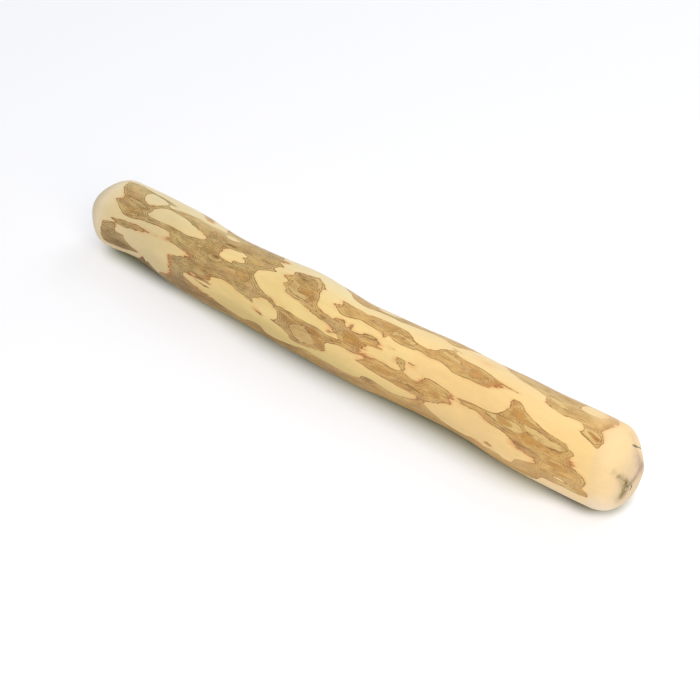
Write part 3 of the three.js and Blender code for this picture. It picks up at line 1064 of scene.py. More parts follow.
class Graph:
    """Adds the nodes of one material and joins them, with the arithmetic written as calls."""

    def __init__(self, name: str) -> None:
        """Starts an empty material.

        Args:
            name: The material's name.
        """
        self.material = bpy.data.materials.new(name)
        self.material.use_nodes = True
        self.tree = self.material.node_tree
        self.tree.nodes.clear()

    def add(self, kind: str, **settings: object) -> bpy.types.Node:
        """Adds a node.

        Args:
            kind: The node's type.
            **settings: Its properties.

        Returns:
            The node.
        """
        node = self.tree.nodes.new(kind)
        for name, value in settings.items():
            setattr(node, name, value)
        return node

    def feed(self, socket: Socket, value: object) -> None:
        """Links a socket to an output, or sets it to a value.

        Args:
            socket: The socket.
            value: The output or the value.
        """
        if isinstance(value, bpy.types.NodeSocket):
            self.tree.links.new(value, socket)
        else:
            socket.default_value = value

    def attribute(self, name: str, output: str = "Fac") -> Socket:
        """Reads an attribute of the surface."""
        return self.add("ShaderNodeAttribute", attribute_name=name).outputs[output]

    def level(self, kind: Cover | Tint) -> Socket:
        """Reads the depth inside a cover, or the strength of a tint."""
        return self.attribute(kind.value)

    def math(self, operation: str, *values: Amount) -> Socket:
        """Works out one step of arithmetic on numbers.

        Args:
            operation: Blender's name for it.
            *values: What it works on.

        Returns:
            The result.
        """
        node = self.add("ShaderNodeMath", operation=operation)
        for socket, value in zip(node.inputs, values):
            self.feed(socket, value)
        return node.outputs[0]

    def plus(self, *values: Amount) -> Socket:
        """Adds up values."""
        return reduce(partial(self.math, "ADD"), values)

    def times(self, *values: Amount) -> Socket:
        """Multiplies values."""
        return reduce(partial(self.math, "MULTIPLY"), values)

    def rise(self, value: Amount, ramp: Ramp) -> Socket:
        """Follows a ramp.

        Args:
            value: What the ramp follows.
            ramp: The ramp.

        Returns:
            The ramp's value.
        """
        node = self.add("ShaderNodeMapRange", interpolation_type="SMOOTHSTEP", clamp=True)
        names = ("Value", "From Min", "From Max", "To Min", "To Max")
        for name, amount in zip(names, (value, ramp.low, ramp.high, ramp.start, ramp.end)):
            self.feed(node.inputs[name], amount)
        return node.outputs[0]

    def line(self, value: Amount, centre: float, half_width: float) -> Socket:
        """A soft line where a value is near its centre: 1 on it, 0 past its half width."""
        off = self.math("ABSOLUTE", self.math("SUBTRACT", value, centre))
        return self.rise(off, Ramp(half_width * LINE_CORE, half_width, 1.0, 0.0))

    def axes(self, place: Socket) -> tuple[Socket, ...]:
        """Splits a place up.

        Args:
            place: The place.

        Returns:
            How far it is along, across and up.
        """
        node = self.add("ShaderNodeSeparateXYZ")
        self.feed(node.inputs[0], place)
        return tuple(node.outputs)

    def blend(self, factor: Amount, first: Paint, second: Paint) -> Socket:
        """Mixes two colours.

        Args:
            factor: The second colour's share.
            first: One colour.
            second: The other.

        Returns:
            The mixed colour.
        """
        node = self.add("ShaderNodeMix", data_type="RGBA", clamp_factor=True)
        self.feed(node.inputs[0], factor)
        for index, colour in ((6, first), (7, second)):
            self.feed(node.inputs[index], linear(colour) if isinstance(colour, tuple) else colour)
        return node.outputs[2]

    def shade(self, colour: Socket, factor: Amount) -> Socket:
        """Makes a colour lighter or darker.

        Args:
            colour: The colour.
            factor: What it is multiplied by.

        Returns:
            The new colour.
        """
        node = self.add("ShaderNodeVectorMath", operation="SCALE")
        self.feed(node.inputs[0], colour)
        self.feed(node.inputs["Scale"], factor)
        return node.outputs[0]


class StickGraph(Graph):
    """The graph of a material that knows where on the stick the point that it colours is.

    Attributes:
        place: The point, measured from the middle line in mm: along, to the back, and up.
        along: How far it is along.
        across: How far it is to the back.
        height: How far it is up.
        depth: How far it is inside the bark, in mm. It is negative on bare wood.
    """

    def __init__(self, name: str) -> None:
        """Starts the material.

        Args:
            name: The material's name.
        """
        super().__init__(name)
        self.place = self.attribute(GRAIN_PLACE, "Vector")
        self.along, self.across, self.height = self.axes(self.place)
        self.depth = self.level(Cover.BARK)

    def noise(self, pattern: Pattern) -> Socket:
        """Makes noise.

        Args:
            pattern: The noise's pattern.

        Returns:
            The noise.
        """
        scaled = self.add("ShaderNodeVectorMath", operation="MULTIPLY")
        self.feed(scaled.inputs[0], self.place)
        scaled.inputs[1].default_value = (pattern.along, pattern.across, pattern.across)
        node = self.add("ShaderNodeTexNoise")
        self.feed(node.inputs["Vector"], scaled.outputs[0])
        node.inputs["Scale"].default_value = 1.0
        node.inputs["Detail"].default_value = pattern.detail
        node.inputs["Roughness"].default_value = pattern.rough
        noise = self.times(self.math("SUBTRACT", node.outputs[0], NOISE_MIDDLE), pattern.strength)
        return self.rise(noise, pattern.ramp) if pattern.ramp else noise


@dataclass(frozen=True)
class BareWood:
    """The sanded sapwood: cream to straw, with a fine lengthwise grain.

    A ramp called a run follows the place along the stick, and one called a side the height above the
    middle line or, for the painted sheen, how far back it lies, in mm.
    """

    cream: Colour = (253, 224, 153)
    straw: Colour = (242, 210, 139)
    # painted sheen: a paler colour towards the top at the back
    painted_sheen: Colour = (244, 226, 180)
    warm: Colour = (252, 212, 146)
    # painted shade: the darker colour of the lower side, strongest towards the thin end
    low: Colour = (220, 193, 120)
    thin_end: Colour = (231, 209, 160)
    flush: Colour = (236, 172, 108)
    thick_rim: Colour = (244, 211, 156)
    thick_rim_low: Colour = (242, 220, 186)
    thin_rim: Colour = (240, 222, 188)
    thick_face: Colour = (224, 197, 156)
    thin_face: Colour = (224, 208, 182)
    stain: Colour = (124, 102, 44)
    # mauve of the ends' smudges, partly painted shade on the thick end's face
    smudge_and_shade: Colour = (180, 150, 124)
    # painted shade: the dark in the pits and round the pith's hole
    pit_shade: Colour = (86, 68, 30)
    # painted highlight at the pith's centre, where its hole catches the light
    pith: Colour = (246, 238, 196)
    roughness: float = 0.52
    straw_patches: Pattern = Pattern(0.03, 0.12, ramp=Ramp(-0.2, 0.2))
    warm_run: Ramp = Ramp(-10.0, 60.0, 0.0, 0.75)
    warm_patches: Pattern = Pattern(0.04, 0.15)
    low_shade_side: Ramp = Ramp(6.0, -3.0)
    low_shade_run: Ramp = Ramp(90.0, 0.0, 0.0, 0.9)
    corner_side: Ramp = Ramp(2.0, -8.0)
    corner_run: Ramp = Ramp(86.0, 106.0, 0.0, 0.6)
    thin_end_run: Ramp = Ramp(-40.0, -105.0, 0.0, 0.9)
    painted_sheen_side: Ramp = Ramp(-8.0, 9.0)
    painted_sheen_run: Ramp = Ramp(60.0, -20.0, 0.5, 0.95)
    thin_rim_run: Ramp = Ramp(-109.0, -117.0, 0.0, 0.85)
    thick_rim_slant: float = 0.42  # how far the thick rim lies nearer the middle, for each mm across
    thick_rim_run: Ramp = Ramp(108.6, 111.4)
    thick_rim_side: Ramp = Ramp(3.0, -7.0)
    edge_stains: Pattern = Pattern(0.08, 0.3, ramp=Ramp(-0.06, 0.16, 0.0, 0.55))
    flush_reach: Ramp = Ramp(-1.3, 0.0, 0.0, 0.6)  # by the depth inside the bark
    face_run: Ramp = Ramp(-60.0, 60.0)
    face_share: float = 0.85
    streaks: Pattern = Pattern(0.04, 1.3, 4.0, 0.65, 0.08)
    fine_grain: Pattern = Pattern(0.4, 4.0, strength=0.08)
    mottling: Pattern = Pattern(0.14, 0.32, 3.0, 0.65, 0.12)
    dashes: Pattern = Pattern(0.22, 2.4, ramp=Ramp(0.14, 0.22, 0.0, -0.06))
    ring_strength: float = 0.01
    # painted shade: the lower side up to 6% darker towards the thin end
    painted_shade_side: Ramp = Ramp(5.0, -4.0)
    painted_shade_run: Ramp = Ramp(-5.0, -45.0, 0.0, -0.06)
    clouds: Pattern = Pattern(0.6, 0.6, 4.0, 0.65, ramp=Ramp(-0.15, 0.1, 0.4, 1.1))
    stain_share: float = 0.95
    pit_zone: Span = (90.0, 100.0)  # how far out the marks of the pits come in
    pith_dots: Pattern = Pattern(1.1, 1.1, ramp=Ramp(-0.15, 0.05, 0.3, 1.0))
    pith_ring: Span = (1.0, 0.9)  # its middle and half its width, in the pit's own measure
    # painted highlight: the pale centre of the pith
    pith_glint: Ramp = Ramp(0.5, 0.1, 0.0, 0.9)  # in the same measure
    pit_shade_edge: Ramp = Ramp(1.3, 0.3, 0.0, 0.85)

    def ground(self, g: StickGraph) -> Socket:
        """Colours the ground: cream and straw, painted sheen on top, painted shade below, warmer at the
        thick end.

        Args:
            g: The material's graph.

        Returns:
            The colour.
        """
        patchy = g.noise(self.straw_patches)
        colour = g.blend(patchy, self.cream, self.straw)
        warmed = g.plus(g.rise(g.along, self.warm_run), g.noise(self.warm_patches))
        colour = g.blend(warmed, colour, self.warm)
        # painted shade on the lower side
        low = g.times(g.rise(g.height, self.low_shade_side), g.rise(g.along, self.low_shade_run))
        colour = g.blend(low, colour, self.low)
        corner = g.times(g.rise(g.height, self.corner_side), g.rise(g.along, self.corner_run))
        colour = g.blend(corner, colour, self.thick_rim_low)
        colour = g.blend(g.rise(g.along, self.thin_end_run), colour, self.thin_end)
        # painted sheen: paler towards the top at the back, most towards the thin end
        high = g.times(g.rise(g.across, self.painted_sheen_side), g.rise(g.along, self.painted_sheen_run))
        colour = g.blend(high, colour, self.painted_sheen)
        colour = g.blend(g.rise(g.along, self.thin_rim_run), colour, self.thin_rim)
        rim = g.rise(g.plus(g.along, g.times(g.across, self.thick_rim_slant)), self.thick_rim_run)
        colour = g.blend(rim, colour, self.thick_rim)
        return g.blend(g.times(rim, g.rise(g.height, self.thick_rim_side)), colour, self.thick_rim_low)

    def colour(self, g: StickGraph) -> Socket:
        """Colours the bare wood.

        Args:
            g: The material's graph.

        Returns:
            The colour.
        """
        stained_edge = g.noise(self.edge_stains)
        flushed = g.plus(g.level(Tint.RUSSET), stained_edge)
        flushed = g.times(g.rise(g.depth, self.flush_reach), flushed)
        flushed = g.plus(flushed, g.level(Tint.BLUSHED))
        colour = g.blend(flushed, self.ground(g), self.flush)
        face = g.blend(g.rise(g.along, self.face_run), self.thin_face, self.thick_face)
        end = g.attribute(END_GRAIN)
        colour = g.blend(g.times(end, self.face_share), colour, face)
        streaks = g.noise(self.streaks)
        fine = g.noise(self.fine_grain)
        mottled = g.noise(self.mottling)
        dashes = g.noise(self.dashes)
        rings = g.times(g.math("SINE", g.attribute(RING_ANGLE)), end, self.ring_strength)
        # painted shade on the lower side towards the thin end
        painted_shade = g.times(g.rise(g.height, self.painted_shade_side), g.rise(g.along, self.painted_shade_run))
        return g.shade(colour, g.plus(streaks, fine, mottled, dashes, rings, painted_shade, 1.0))

    def marked(self, g: StickGraph, colour: Socket) -> Socket:
        """Marks the ends: stains, smudges with painted shade, painted shade in pits and round the pith, a
        painted highlight.

        Args:
            g: The material's graph.
            colour: The colour so far.

        Returns:
            The colour.
        """
        cloudy = g.noise(self.clouds)
        # smudges, with painted shade on the thick end's face
        smudged_and_shaded = g.times(g.level(Tint.SMUDGED_AND_SHADED), cloudy)
        colour = g.blend(smudged_and_shaded, colour, self.smudge_and_shade)
        stained = g.times(g.level(Tint.STAINED), cloudy, self.stain_share)
        colour = g.blend(stained, colour, self.stain)
        # painted shade in the pits and round the pith
        for pit in PITS:
            turn = math.radians(pit.slope)
            y, z = g.plus(g.across, -pit.across), g.plus(g.height, -pit.height)
            lengthwise = g.plus(g.times(y, math.cos(turn)), g.times(z, math.sin(turn)))
            sideways = g.plus(g.times(z, math.cos(turn)), g.times(y, -math.sin(turn)))
            lengthwise, sideways = g.times(lengthwise, 1 / pit.run), g.times(sideways, 1 / pit.mark)
            far = g.plus(g.times(lengthwise, lengthwise), g.times(sideways, sideways))
            at_end = g.rise(g.along, Ramp(*(pit.end * limit for limit in self.pit_zone)))
            if pit.is_pith:
                dots = g.noise(self.pith_dots)
                colour = g.blend(g.times(g.line(far, *self.pith_ring), dots, at_end), colour, self.pit_shade)
                # painted highlight at the pith's centre
                colour = g.blend(g.times(g.rise(far, self.pith_glint), at_end), colour, self.pith)
            else:
                colour = g.blend(g.times(g.rise(far, self.pit_shade_edge), at_end), colour, self.pit_shade)
        return colour


@dataclass(frozen=True)
class LayerLines:
    """The edges of the bark's layers: fine lines, one inside another, which stray further in.

    A line is given by its middle and half its width, as shares of the way from one edge to the next.
    """

    gap: float = 0.78  # between two edges, in mm
    half_width: float = 0.16  # of an edge, in mm
    dark_middle: float = 0.35
    light_middle: float = 0.72
    stray: Pattern = Pattern(0.13, 0.5, 3.0)
    stray_depth: Ramp = Ramp(0.0, 3.5, 0.5, 2.4)  # by the depth, as the other ramps called a depth
    jags: Pattern = Pattern(0.6, 2.0, 3.0, 0.65, 0.5)
    breaks: Pattern = Pattern(0.12, 0.6, 2.0, 0.6, ramp=Ramp(-0.13, 0.1, 0.06, 1.0))
    share_depth: Ramp = Ramp(0.8, 3.0, 0.85)
    share_inside: Ramp = Ramp(10.0, 60.0, 0.55, 0.25)  # by the place along the stick
    knot_rings: float = 1.15  # round a small knot, for each unit of its strength
    knot_bend: Pattern = Pattern(0.4, 0.6, strength=0.35)
    knot_line: Span = (0.5, 0.24)
    knot_rise: Ramp = Ramp(0.15, 0.6, 0.0, 0.7)  # by the knot's strength
    drift: Pattern = Pattern(0.035, 0.17, strength=9.0)
    drift_jags: float = 0.5
    drift_per_mm: float = 0.35
    drift_line: Span = (0.5, 0.11)
    drift_depth: Ramp = Ramp(0.8, 2.6)
    drift_patches: Pattern = Pattern(0.09, 0.4, ramp=Ramp(-0.04, 0.16))
    drift_share: float = 0.8
    start_depth: Ramp = Ramp(0.05, 0.3)

    def draw(self, g: StickGraph) -> tuple[Socket, Socket]:
        """Draws the edges that follow the outline, those that wander deep inside, and round knots.

        Args:
            g: The material's graph.

        Returns:
            The strength of the dark lines, and of the light lines beside them.
        """
        jagged = g.noise(self.jags)
        stray = g.times(g.noise(self.stray), g.rise(g.depth, self.stray_depth))
        way = g.math("FRACT", g.math("DIVIDE", g.plus(g.depth, stray, jagged), self.gap))
        inside = g.rise(g.along, self.share_inside)
        share = g.noise(self.breaks)
        share = g.times(share, g.rise(g.depth, replace(self.share_depth, end=inside)))
        half_width = self.half_width / self.gap
        dark = g.times(g.line(way, self.dark_middle, half_width), share)
        light = g.times(g.line(way, self.light_middle, half_width), share)

        way = g.plus(g.noise(self.drift), g.times(jagged, self.drift_jags))
        way = g.math("FRACT", g.plus(way, g.times(g.depth, self.drift_per_mm)))
        patchy = g.noise(self.drift_patches)
        drifting = g.times(g.line(way, *self.drift_line), g.rise(g.depth, self.drift_depth), patchy)
        dark = g.math("MAXIMUM", dark, g.times(drifting, self.drift_share))

        knot = g.level(Tint.RINGED)
        way = g.math("FRACT", g.plus(g.times(knot, self.knot_rings), g.noise(self.knot_bend)))
        rings = g.times(g.line(way, *self.knot_line), g.rise(knot, self.knot_rise))
        dark = g.math("MAXIMUM", dark, rings)
        start = g.rise(g.depth, self.start_depth)
        return g.times(dark, start), g.times(light, start)


@dataclass(frozen=True)
class Layers:
    """The layers that show inside the bark, at the point that is coloured.

    Attributes:
        pale: How far it is inside a pale layer, in mm.
        amber: How far it is inside an amber one, in mm.
        is_pale: Whether it is in a pale layer, 0 to 1.
        is_amber: Whether it is in an amber one, 0 to 1.
        cored: How dark the amber is there.
        pale_colour: The pale layers' colour there.
    """

    pale: Socket
    amber: Socket
    is_pale: Socket
    is_amber: Socket
    cored: Socket
    pale_colour: Socket


@dataclass(frozen=True)
class InnerBark:
    """The bark that the sander left: tan and olive layers with thin brown edges, and amber cores.

    A ramp called a run follows the place along the stick, a side how far back it lies, and a depth
    the depth inside the bark or the layer, in mm.
    """

    tan: Colour = (216, 184, 120)
    olive: Colour = (170, 142, 88)
    rosy: Colour = (206, 168, 124)
    warm_tan: Colour = (227, 184, 113)
    warm_olive: Colour = (202, 157, 91)
    # painted shade: darker, browner colours for the lower side
    low: Colour = (188, 145, 54)
    low_shade_dark: Colour = (122, 90, 24)
    # painted sheen: a paler colour towards the top at the back
    painted_sheen: Colour = (226, 206, 158)
    amber: Colour = (200, 147, 76)
    core: Colour = (176, 104, 34)
    pale: Colour = (230, 199, 132)
    cool_pale: Colour = (206, 188, 128)
    # dark brown of real marks, and painted shade low on the front
    umber_and_shade: Colour = (114, 83, 39)
    ashen: Colour = (174, 154, 112)
    russet: Colour = (188, 114, 60)
    layer: Colour = (138, 94, 48)
    rim: Colour = (150, 94, 44)
    roughness: float = 0.6
    lines: LayerLines = LayerLines()
    mottling: Pattern = Pattern(0.14, 0.42, 4.0, 0.65, ramp=Ramp(-0.13, 0.13))
    warm_run: Ramp = Ramp(-78.0, 30.0)
    ruddiness: Pattern = Pattern(0.09, 0.34, 3.0, 0.6)
    ruddy_rise: Ramp = Ramp(0.02, 0.2, 0.0, 0.6)  # by the ruddiness
    low_shade_rise: Ramp = Ramp(-0.12, 0.14)  # by the ruddiness too, as a share of the lower colours
    low_shade_top_run: Ramp = Ramp(10.0, -40.0, 0.0, 5.0)  # the height at which the lower side starts
    low_shade_share_run: Ramp = Ramp(30.0, -20.0, 0.5, 0.85)
    low_shade_full: float = -9.0  # the height below which it has its full share
    painted_sheen_share_run: Ramp = Ramp(-70.0, -105.0, 0.4, 0.65)
    painted_sheen_side: Ramp = Ramp(-4.0, 10.0)
    rosiness: Pattern = Pattern(0.11, 0.36, 3.0, 0.6, ramp=Ramp(-0.02, -0.16, 0.0, 0.5))
    layer_wander: Pattern = Pattern(0.3, 1.4, 3.0, 0.6, 1.8)
    layer_teeth: Pattern = Pattern(0.4, 3.4, 2.0, 0.6, 1.2)
    core_calm: Ramp = Ramp(0.0, 0.8, 1.0, 0.25)  # of both, by how dark the core is
    pale_fray: float = 0.6
    pale_depth: Ramp = Ramp(-0.2, 0.25)
    amber_depth: Ramp = Ramp(-0.3, 0.4)
    pale_warm_run: Ramp = Ramp(-45.0, -5.0)
    halo_patches: Pattern = Pattern(0.09, 0.3, ramp=Ramp(-0.08, 0.12, 0.0, 0.4))
    halo_depth: Ramp = Ramp(2.6, 0.6)
    clouds: Pattern = Pattern(0.1, 0.7, 3.0, 0.6, ramp=Ramp(-0.2, 0.1, 0.6, 1.0))
    pale_run: Ramp = Ramp(-20.0, 30.0, 0.4, 0.8)
    amber_run: Ramp = Ramp(-40.0, -15.0, 0.3, 0.9)
    core_share: float = 0.9
    ashen_share: float = 0.9
    feathers: Pattern = Pattern(0.12, 1.4, 3.0, 0.6, ramp=Ramp(-0.3, 0.3, 0.2, 1.3))
    russet_depth: Ramp = Ramp(2.6, 0.2, 0.0, 0.85)
    sharpness: Ramp = Ramp(0.0, 1.0, 1.0, 0.55)  # of lines, by the soft spots
    layer_plainness: Ramp = Ramp(0.0, 1.0, 1.0, 0.6)  # of lines, by being in a layer
    core_plainness: Ramp = Ramp(0.2, 0.8, 1.0, 0.3)  # of lines, by how dark the core is
    dashes: Pattern = Pattern(0.2, 2.2, ramp=Ramp(0.06, 0.2, 0.0, 0.5))
    round_patches: Pattern = Pattern(0.15, 0.6, ramp=Ramp(-0.2, 0.1, 0.25, 1.25))
    round_half_width: float = 0.2  # of the lines round the layers, in mm
    pale_round: float = 0.0  # the depth of the line round a pale layer
    outer_round: float = -0.75  # and of a weaker one outside it
    outer_share: float = 0.5
    amber_round: float = -0.1
    amber_share: float = 0.6
    line_run: Ramp = Ramp(-20.0, 60.0, 0.82, 0.58)
    light_share: float = 0.5
    rim_breaks: Pattern = Pattern(0.16, 0.5, ramp=Ramp(-0.2, 0.14, 0.15, 0.85))
    rim_line: Span = (0.1, 0.25)  # the depth of its middle and half its width, in mm
    fibres: Pattern = Pattern(0.2, 2.6, 3.0, 0.65, 0.26)
    flecks: Pattern = Pattern(0.6, 1.5, 3.0, 0.7, 0.3)
    calm_run: Ramp = Ramp(0.0, 60.0, 1.0, 0.7)

    def ground(self, g: StickGraph) -> Socket:
        """Colours the bark's ground: greyer at the thin end, warmer at the thick one, browner painted shade
        low down.

        Args:
            g: The material's graph.

        Returns:
            The colour.
        """
        mottled = g.noise(self.mottling)
        cool = g.blend(mottled, self.olive, self.tan)
        warm = g.blend(mottled, self.warm_olive, self.warm_tan)
        colour = g.blend(g.rise(g.along, self.warm_run), cool, warm)
        # painted shade on the lower side
        ruddiness = g.noise(self.ruddiness)
        low = g.blend(g.rise(ruddiness, self.low_shade_rise), self.low_shade_dark, self.low)
        low_shade_top = g.rise(g.along, self.low_shade_top_run)
        low_shade_share = g.rise(g.along, self.low_shade_share_run)
        colour = g.blend(g.rise(g.height, Ramp(low_shade_top, self.low_shade_full, 0.0, low_shade_share)), colour, low)
        # painted sheen: paler towards the top at the back, most at the thin end
        painted_sheen_share = g.rise(g.along, self.painted_sheen_share_run)
        high = g.rise(g.across, replace(self.painted_sheen_side, end=painted_sheen_share))
        colour = g.blend(high, colour, self.painted_sheen)
        rosy = g.noise(self.rosiness)
        colour = g.blend(rosy, colour, self.rosy)
        return g.blend(g.rise(ruddiness, self.ruddy_rise), colour, self.amber)

    def layers(self, g: StickGraph) -> Layers:
        """Works out the pale and amber layers, with their edges frayed.

        Args:
            g: The material's graph.

        Returns:
            The layers.
        """
        cored = g.level(Tint.CORED)
        calm = g.rise(cored, self.core_calm)
        wander = g.times(g.noise(self.layer_wander), calm)
        teeth = g.times(g.noise(self.layer_teeth), calm)
        amber = g.plus(g.level(Cover.AMBER), wander, teeth)
        pale = g.plus(g.level(Cover.PALE), g.times(g.plus(wander, teeth), self.pale_fray))
        is_pale, is_amber = g.rise(pale, self.pale_depth), g.rise(amber, self.amber_depth)
        pale_colour = g.blend(g.rise(g.along, self.pale_warm_run), self.cool_pale, self.pale)
        return Layers(pale, amber, is_pale, is_amber, cored, pale_colour)

    def layered(self, g: StickGraph, layers: Layers) -> Socket:
        """Colours the bark's ground and the layers on it.

        Args:
            g: The material's graph.
            layers: The layers.

        Returns:
            The colour.
        """
        halo = g.noise(self.halo_patches)
        halo = g.times(g.rise(g.depth, self.halo_depth), halo)
        colour = g.blend(halo, self.ground(g), layers.pale_colour)
        clouded = g.noise(self.clouds)
        pale_share = g.times(layers.is_pale, clouded, g.rise(g.along, self.pale_run))
        colour = g.blend(pale_share, colour, layers.pale_colour)
        amber_share = g.times(layers.is_amber, clouded, g.rise(g.along, self.amber_run))
        colour = g.blend(amber_share, colour, self.amber)
        return g.blend(g.times(layers.is_amber, layers.cored, self.core_share), colour, self.core)

    def tinted(self, g: StickGraph, colour: Socket) -> Socket:
        """Adds the ashen, russet and umber spots; the umber ones low on the front are painted shade.

        Args:
            g: The material's graph.
            colour: The colour so far.

        Returns:
            The colour.
        """
        colour = g.blend(g.times(g.level(Tint.ASHEN), self.ashen_share), colour, self.ashen)
        feathered = g.noise(self.feathers)
        russet = g.times(g.level(Tint.RUSSET), feathered, g.rise(g.depth, self.russet_depth))
        colour = g.blend(russet, colour, self.russet)
        # umber: real dark marks, and painted shade low on the front
        return g.blend(g.times(g.level(Tint.UMBER_AND_SHADE), feathered), colour, self.umber_and_shade)

    def lined(self, g: StickGraph, layers: Layers, colour: Socket) -> Socket:
        """Draws the dashes of the grain, the layers' edges and the bark's own rim.

        Args:
            g: The material's graph.
            layers: The layers.
            colour: The colour so far.

        Returns:
            The colour.
        """
        sharp = g.rise(g.level(Tint.SOFT), self.sharpness)
        plain = g.rise(g.math("MAXIMUM", layers.is_pale, layers.is_amber), self.layer_plainness)
        plain = g.times(plain, g.rise(layers.cored, self.core_plainness))
        dashes = g.noise(self.dashes)
        colour = g.blend(g.times(dashes, sharp, plain), colour, self.layer)
        share = g.rise(g.along, self.line_run)
        dark, light = self.lines.draw(g)
        colour = g.blend(g.times(light, plain, sharp, share, self.light_share), colour, layers.pale_colour)
        half_width = self.round_half_width
        near = g.line(layers.pale, self.pale_round, half_width)
        outer = g.times(g.line(layers.pale, self.outer_round, half_width), self.outer_share)
        amber = g.times(g.line(layers.amber, self.amber_round, half_width), self.amber_share)
        rounds = g.times(g.plus(near, outer, amber), g.noise(self.round_patches))
        dark = g.math("MAXIMUM", g.times(dark, plain), rounds)
        colour = g.blend(g.times(dark, sharp, share), colour, self.layer)
        broken = g.noise(self.rim_breaks)
        return g.blend(g.times(g.line(g.depth, *self.rim_line), broken, sharp), colour, self.rim)

    def colour(self, g: StickGraph) -> Socket:
        """Colours the bark.

        Args:
            g: The material's graph.

        Returns:
            The colour.
        """
        layers = self.layers(g)
        colour = self.layered(g, layers)
        colour = self.tinted(g, colour)
        colour = self.lined(g, layers, colour)
        grain = g.plus(g.noise(self.fibres), g.noise(self.flecks))
        return g.shade(colour, g.plus(g.times(grain, g.rise(g.along, self.calm_run)), 1.0))


@dataclass(frozen=True)
class BranchFinish:
    """The stick's whole finish, bare wood and bark."""

    wood: BareWood = BareWood()
    bark: InnerBark = InnerBark()
    sheen: float = 0.4  # the level of its reflections
    edge_wander: Pattern = Pattern(0.12, 0.45, strength=0.9)
    edge_teeth: Pattern = Pattern(0.2, 1.35, 3.0, 0.6)
    fray_patches: Pattern = Pattern(0.045, 0.13, 1.0, ramp=Ramp(-0.02, 0.16, 0.4, 1.3))  # the teeth's length
    russet_fray: float = 3.4  # how much longer they are in russet
    edge_depth: Span = (-0.06, 0.1)  # the depths at which the bark starts and covers the wood
    soft_depth: Span = (-0.3, 0.5)  # what a soft spot adds to each
    soft_cover: Ramp = Ramp(0.0, 1.0, 1.0, 0.6)  # how far the bark covers, by the soft spots
    gloss_streaks: Pattern = Pattern(0.3, 1.5, strength=0.12)
    fibre_depth: float = 0.025  # of the bump that the grain gives, in mm
    fibres: Pattern = Pattern(0.1, 3.2, 3.0, 0.6)
    wood_fibres: float = 0.5
    bark_fibres: float = 1.6  # how much stronger they are on the bark

    def frayed_depth(self, g: StickGraph) -> Socket:
        """Frays the bark's edge along the grain, most of all where it is russet.

        Args:
            g: The material's graph.

        Returns:
            The depth inside the frayed bark.
        """
        length = g.noise(self.fray_patches)
        length = g.plus(length, g.times(g.level(Tint.RUSSET), self.russet_fray))
        teeth = g.times(g.noise(self.edge_teeth), length)
        return g.plus(g.depth, g.noise(self.edge_wander), teeth)

    def material(self) -> bpy.types.Material:
        """Builds the material.

        Returns:
            The material.
        """
        g = StickGraph("sanded_branch")
        g.depth = self.frayed_depth(g)
        bare = self.wood.colour(g)
        bark = self.bark.colour(g)
        soft = g.level(Tint.SOFT)
        start, full = (g.plus(g.times(soft, more), at) for at, more in zip(self.edge_depth, self.soft_depth))
        covered = g.rise(g.depth, Ramp(start, full))
        mixed = g.blend(g.times(covered, g.rise(soft, self.soft_cover)), bare, bark)
        colour = self.wood.marked(g, mixed)

        gloss = g.rise(covered, Ramp(0.0, 1.0, self.wood.roughness, self.bark.roughness))
        gloss = g.plus(gloss, g.noise(self.gloss_streaks))
        strength = g.plus(g.times(covered, self.bark_fibres), self.wood_fibres)
        bump = g.add("ShaderNodeBump")
        bump.inputs["Strength"].default_value = 1.0
        bump.inputs["Distance"].default_value = self.fibre_depth * MM
        g.feed(bump.inputs["Height"], g.times(g.noise(self.fibres), strength))

        shader = g.add("ShaderNodeBsdfPrincipled")
        g.feed(shader.inputs["Base Color"], colour)
        g.feed(shader.inputs["Roughness"], gloss)
        g.feed(shader.inputs["Normal"], bump.outputs[0])
        shader.inputs["Specular IOR Level"].default_value = self.sheen
        out = g.add("ShaderNodeOutputMaterial")
        g.feed(out.inputs["Surface"], shader.outputs[0])
        return g.material


# The stick


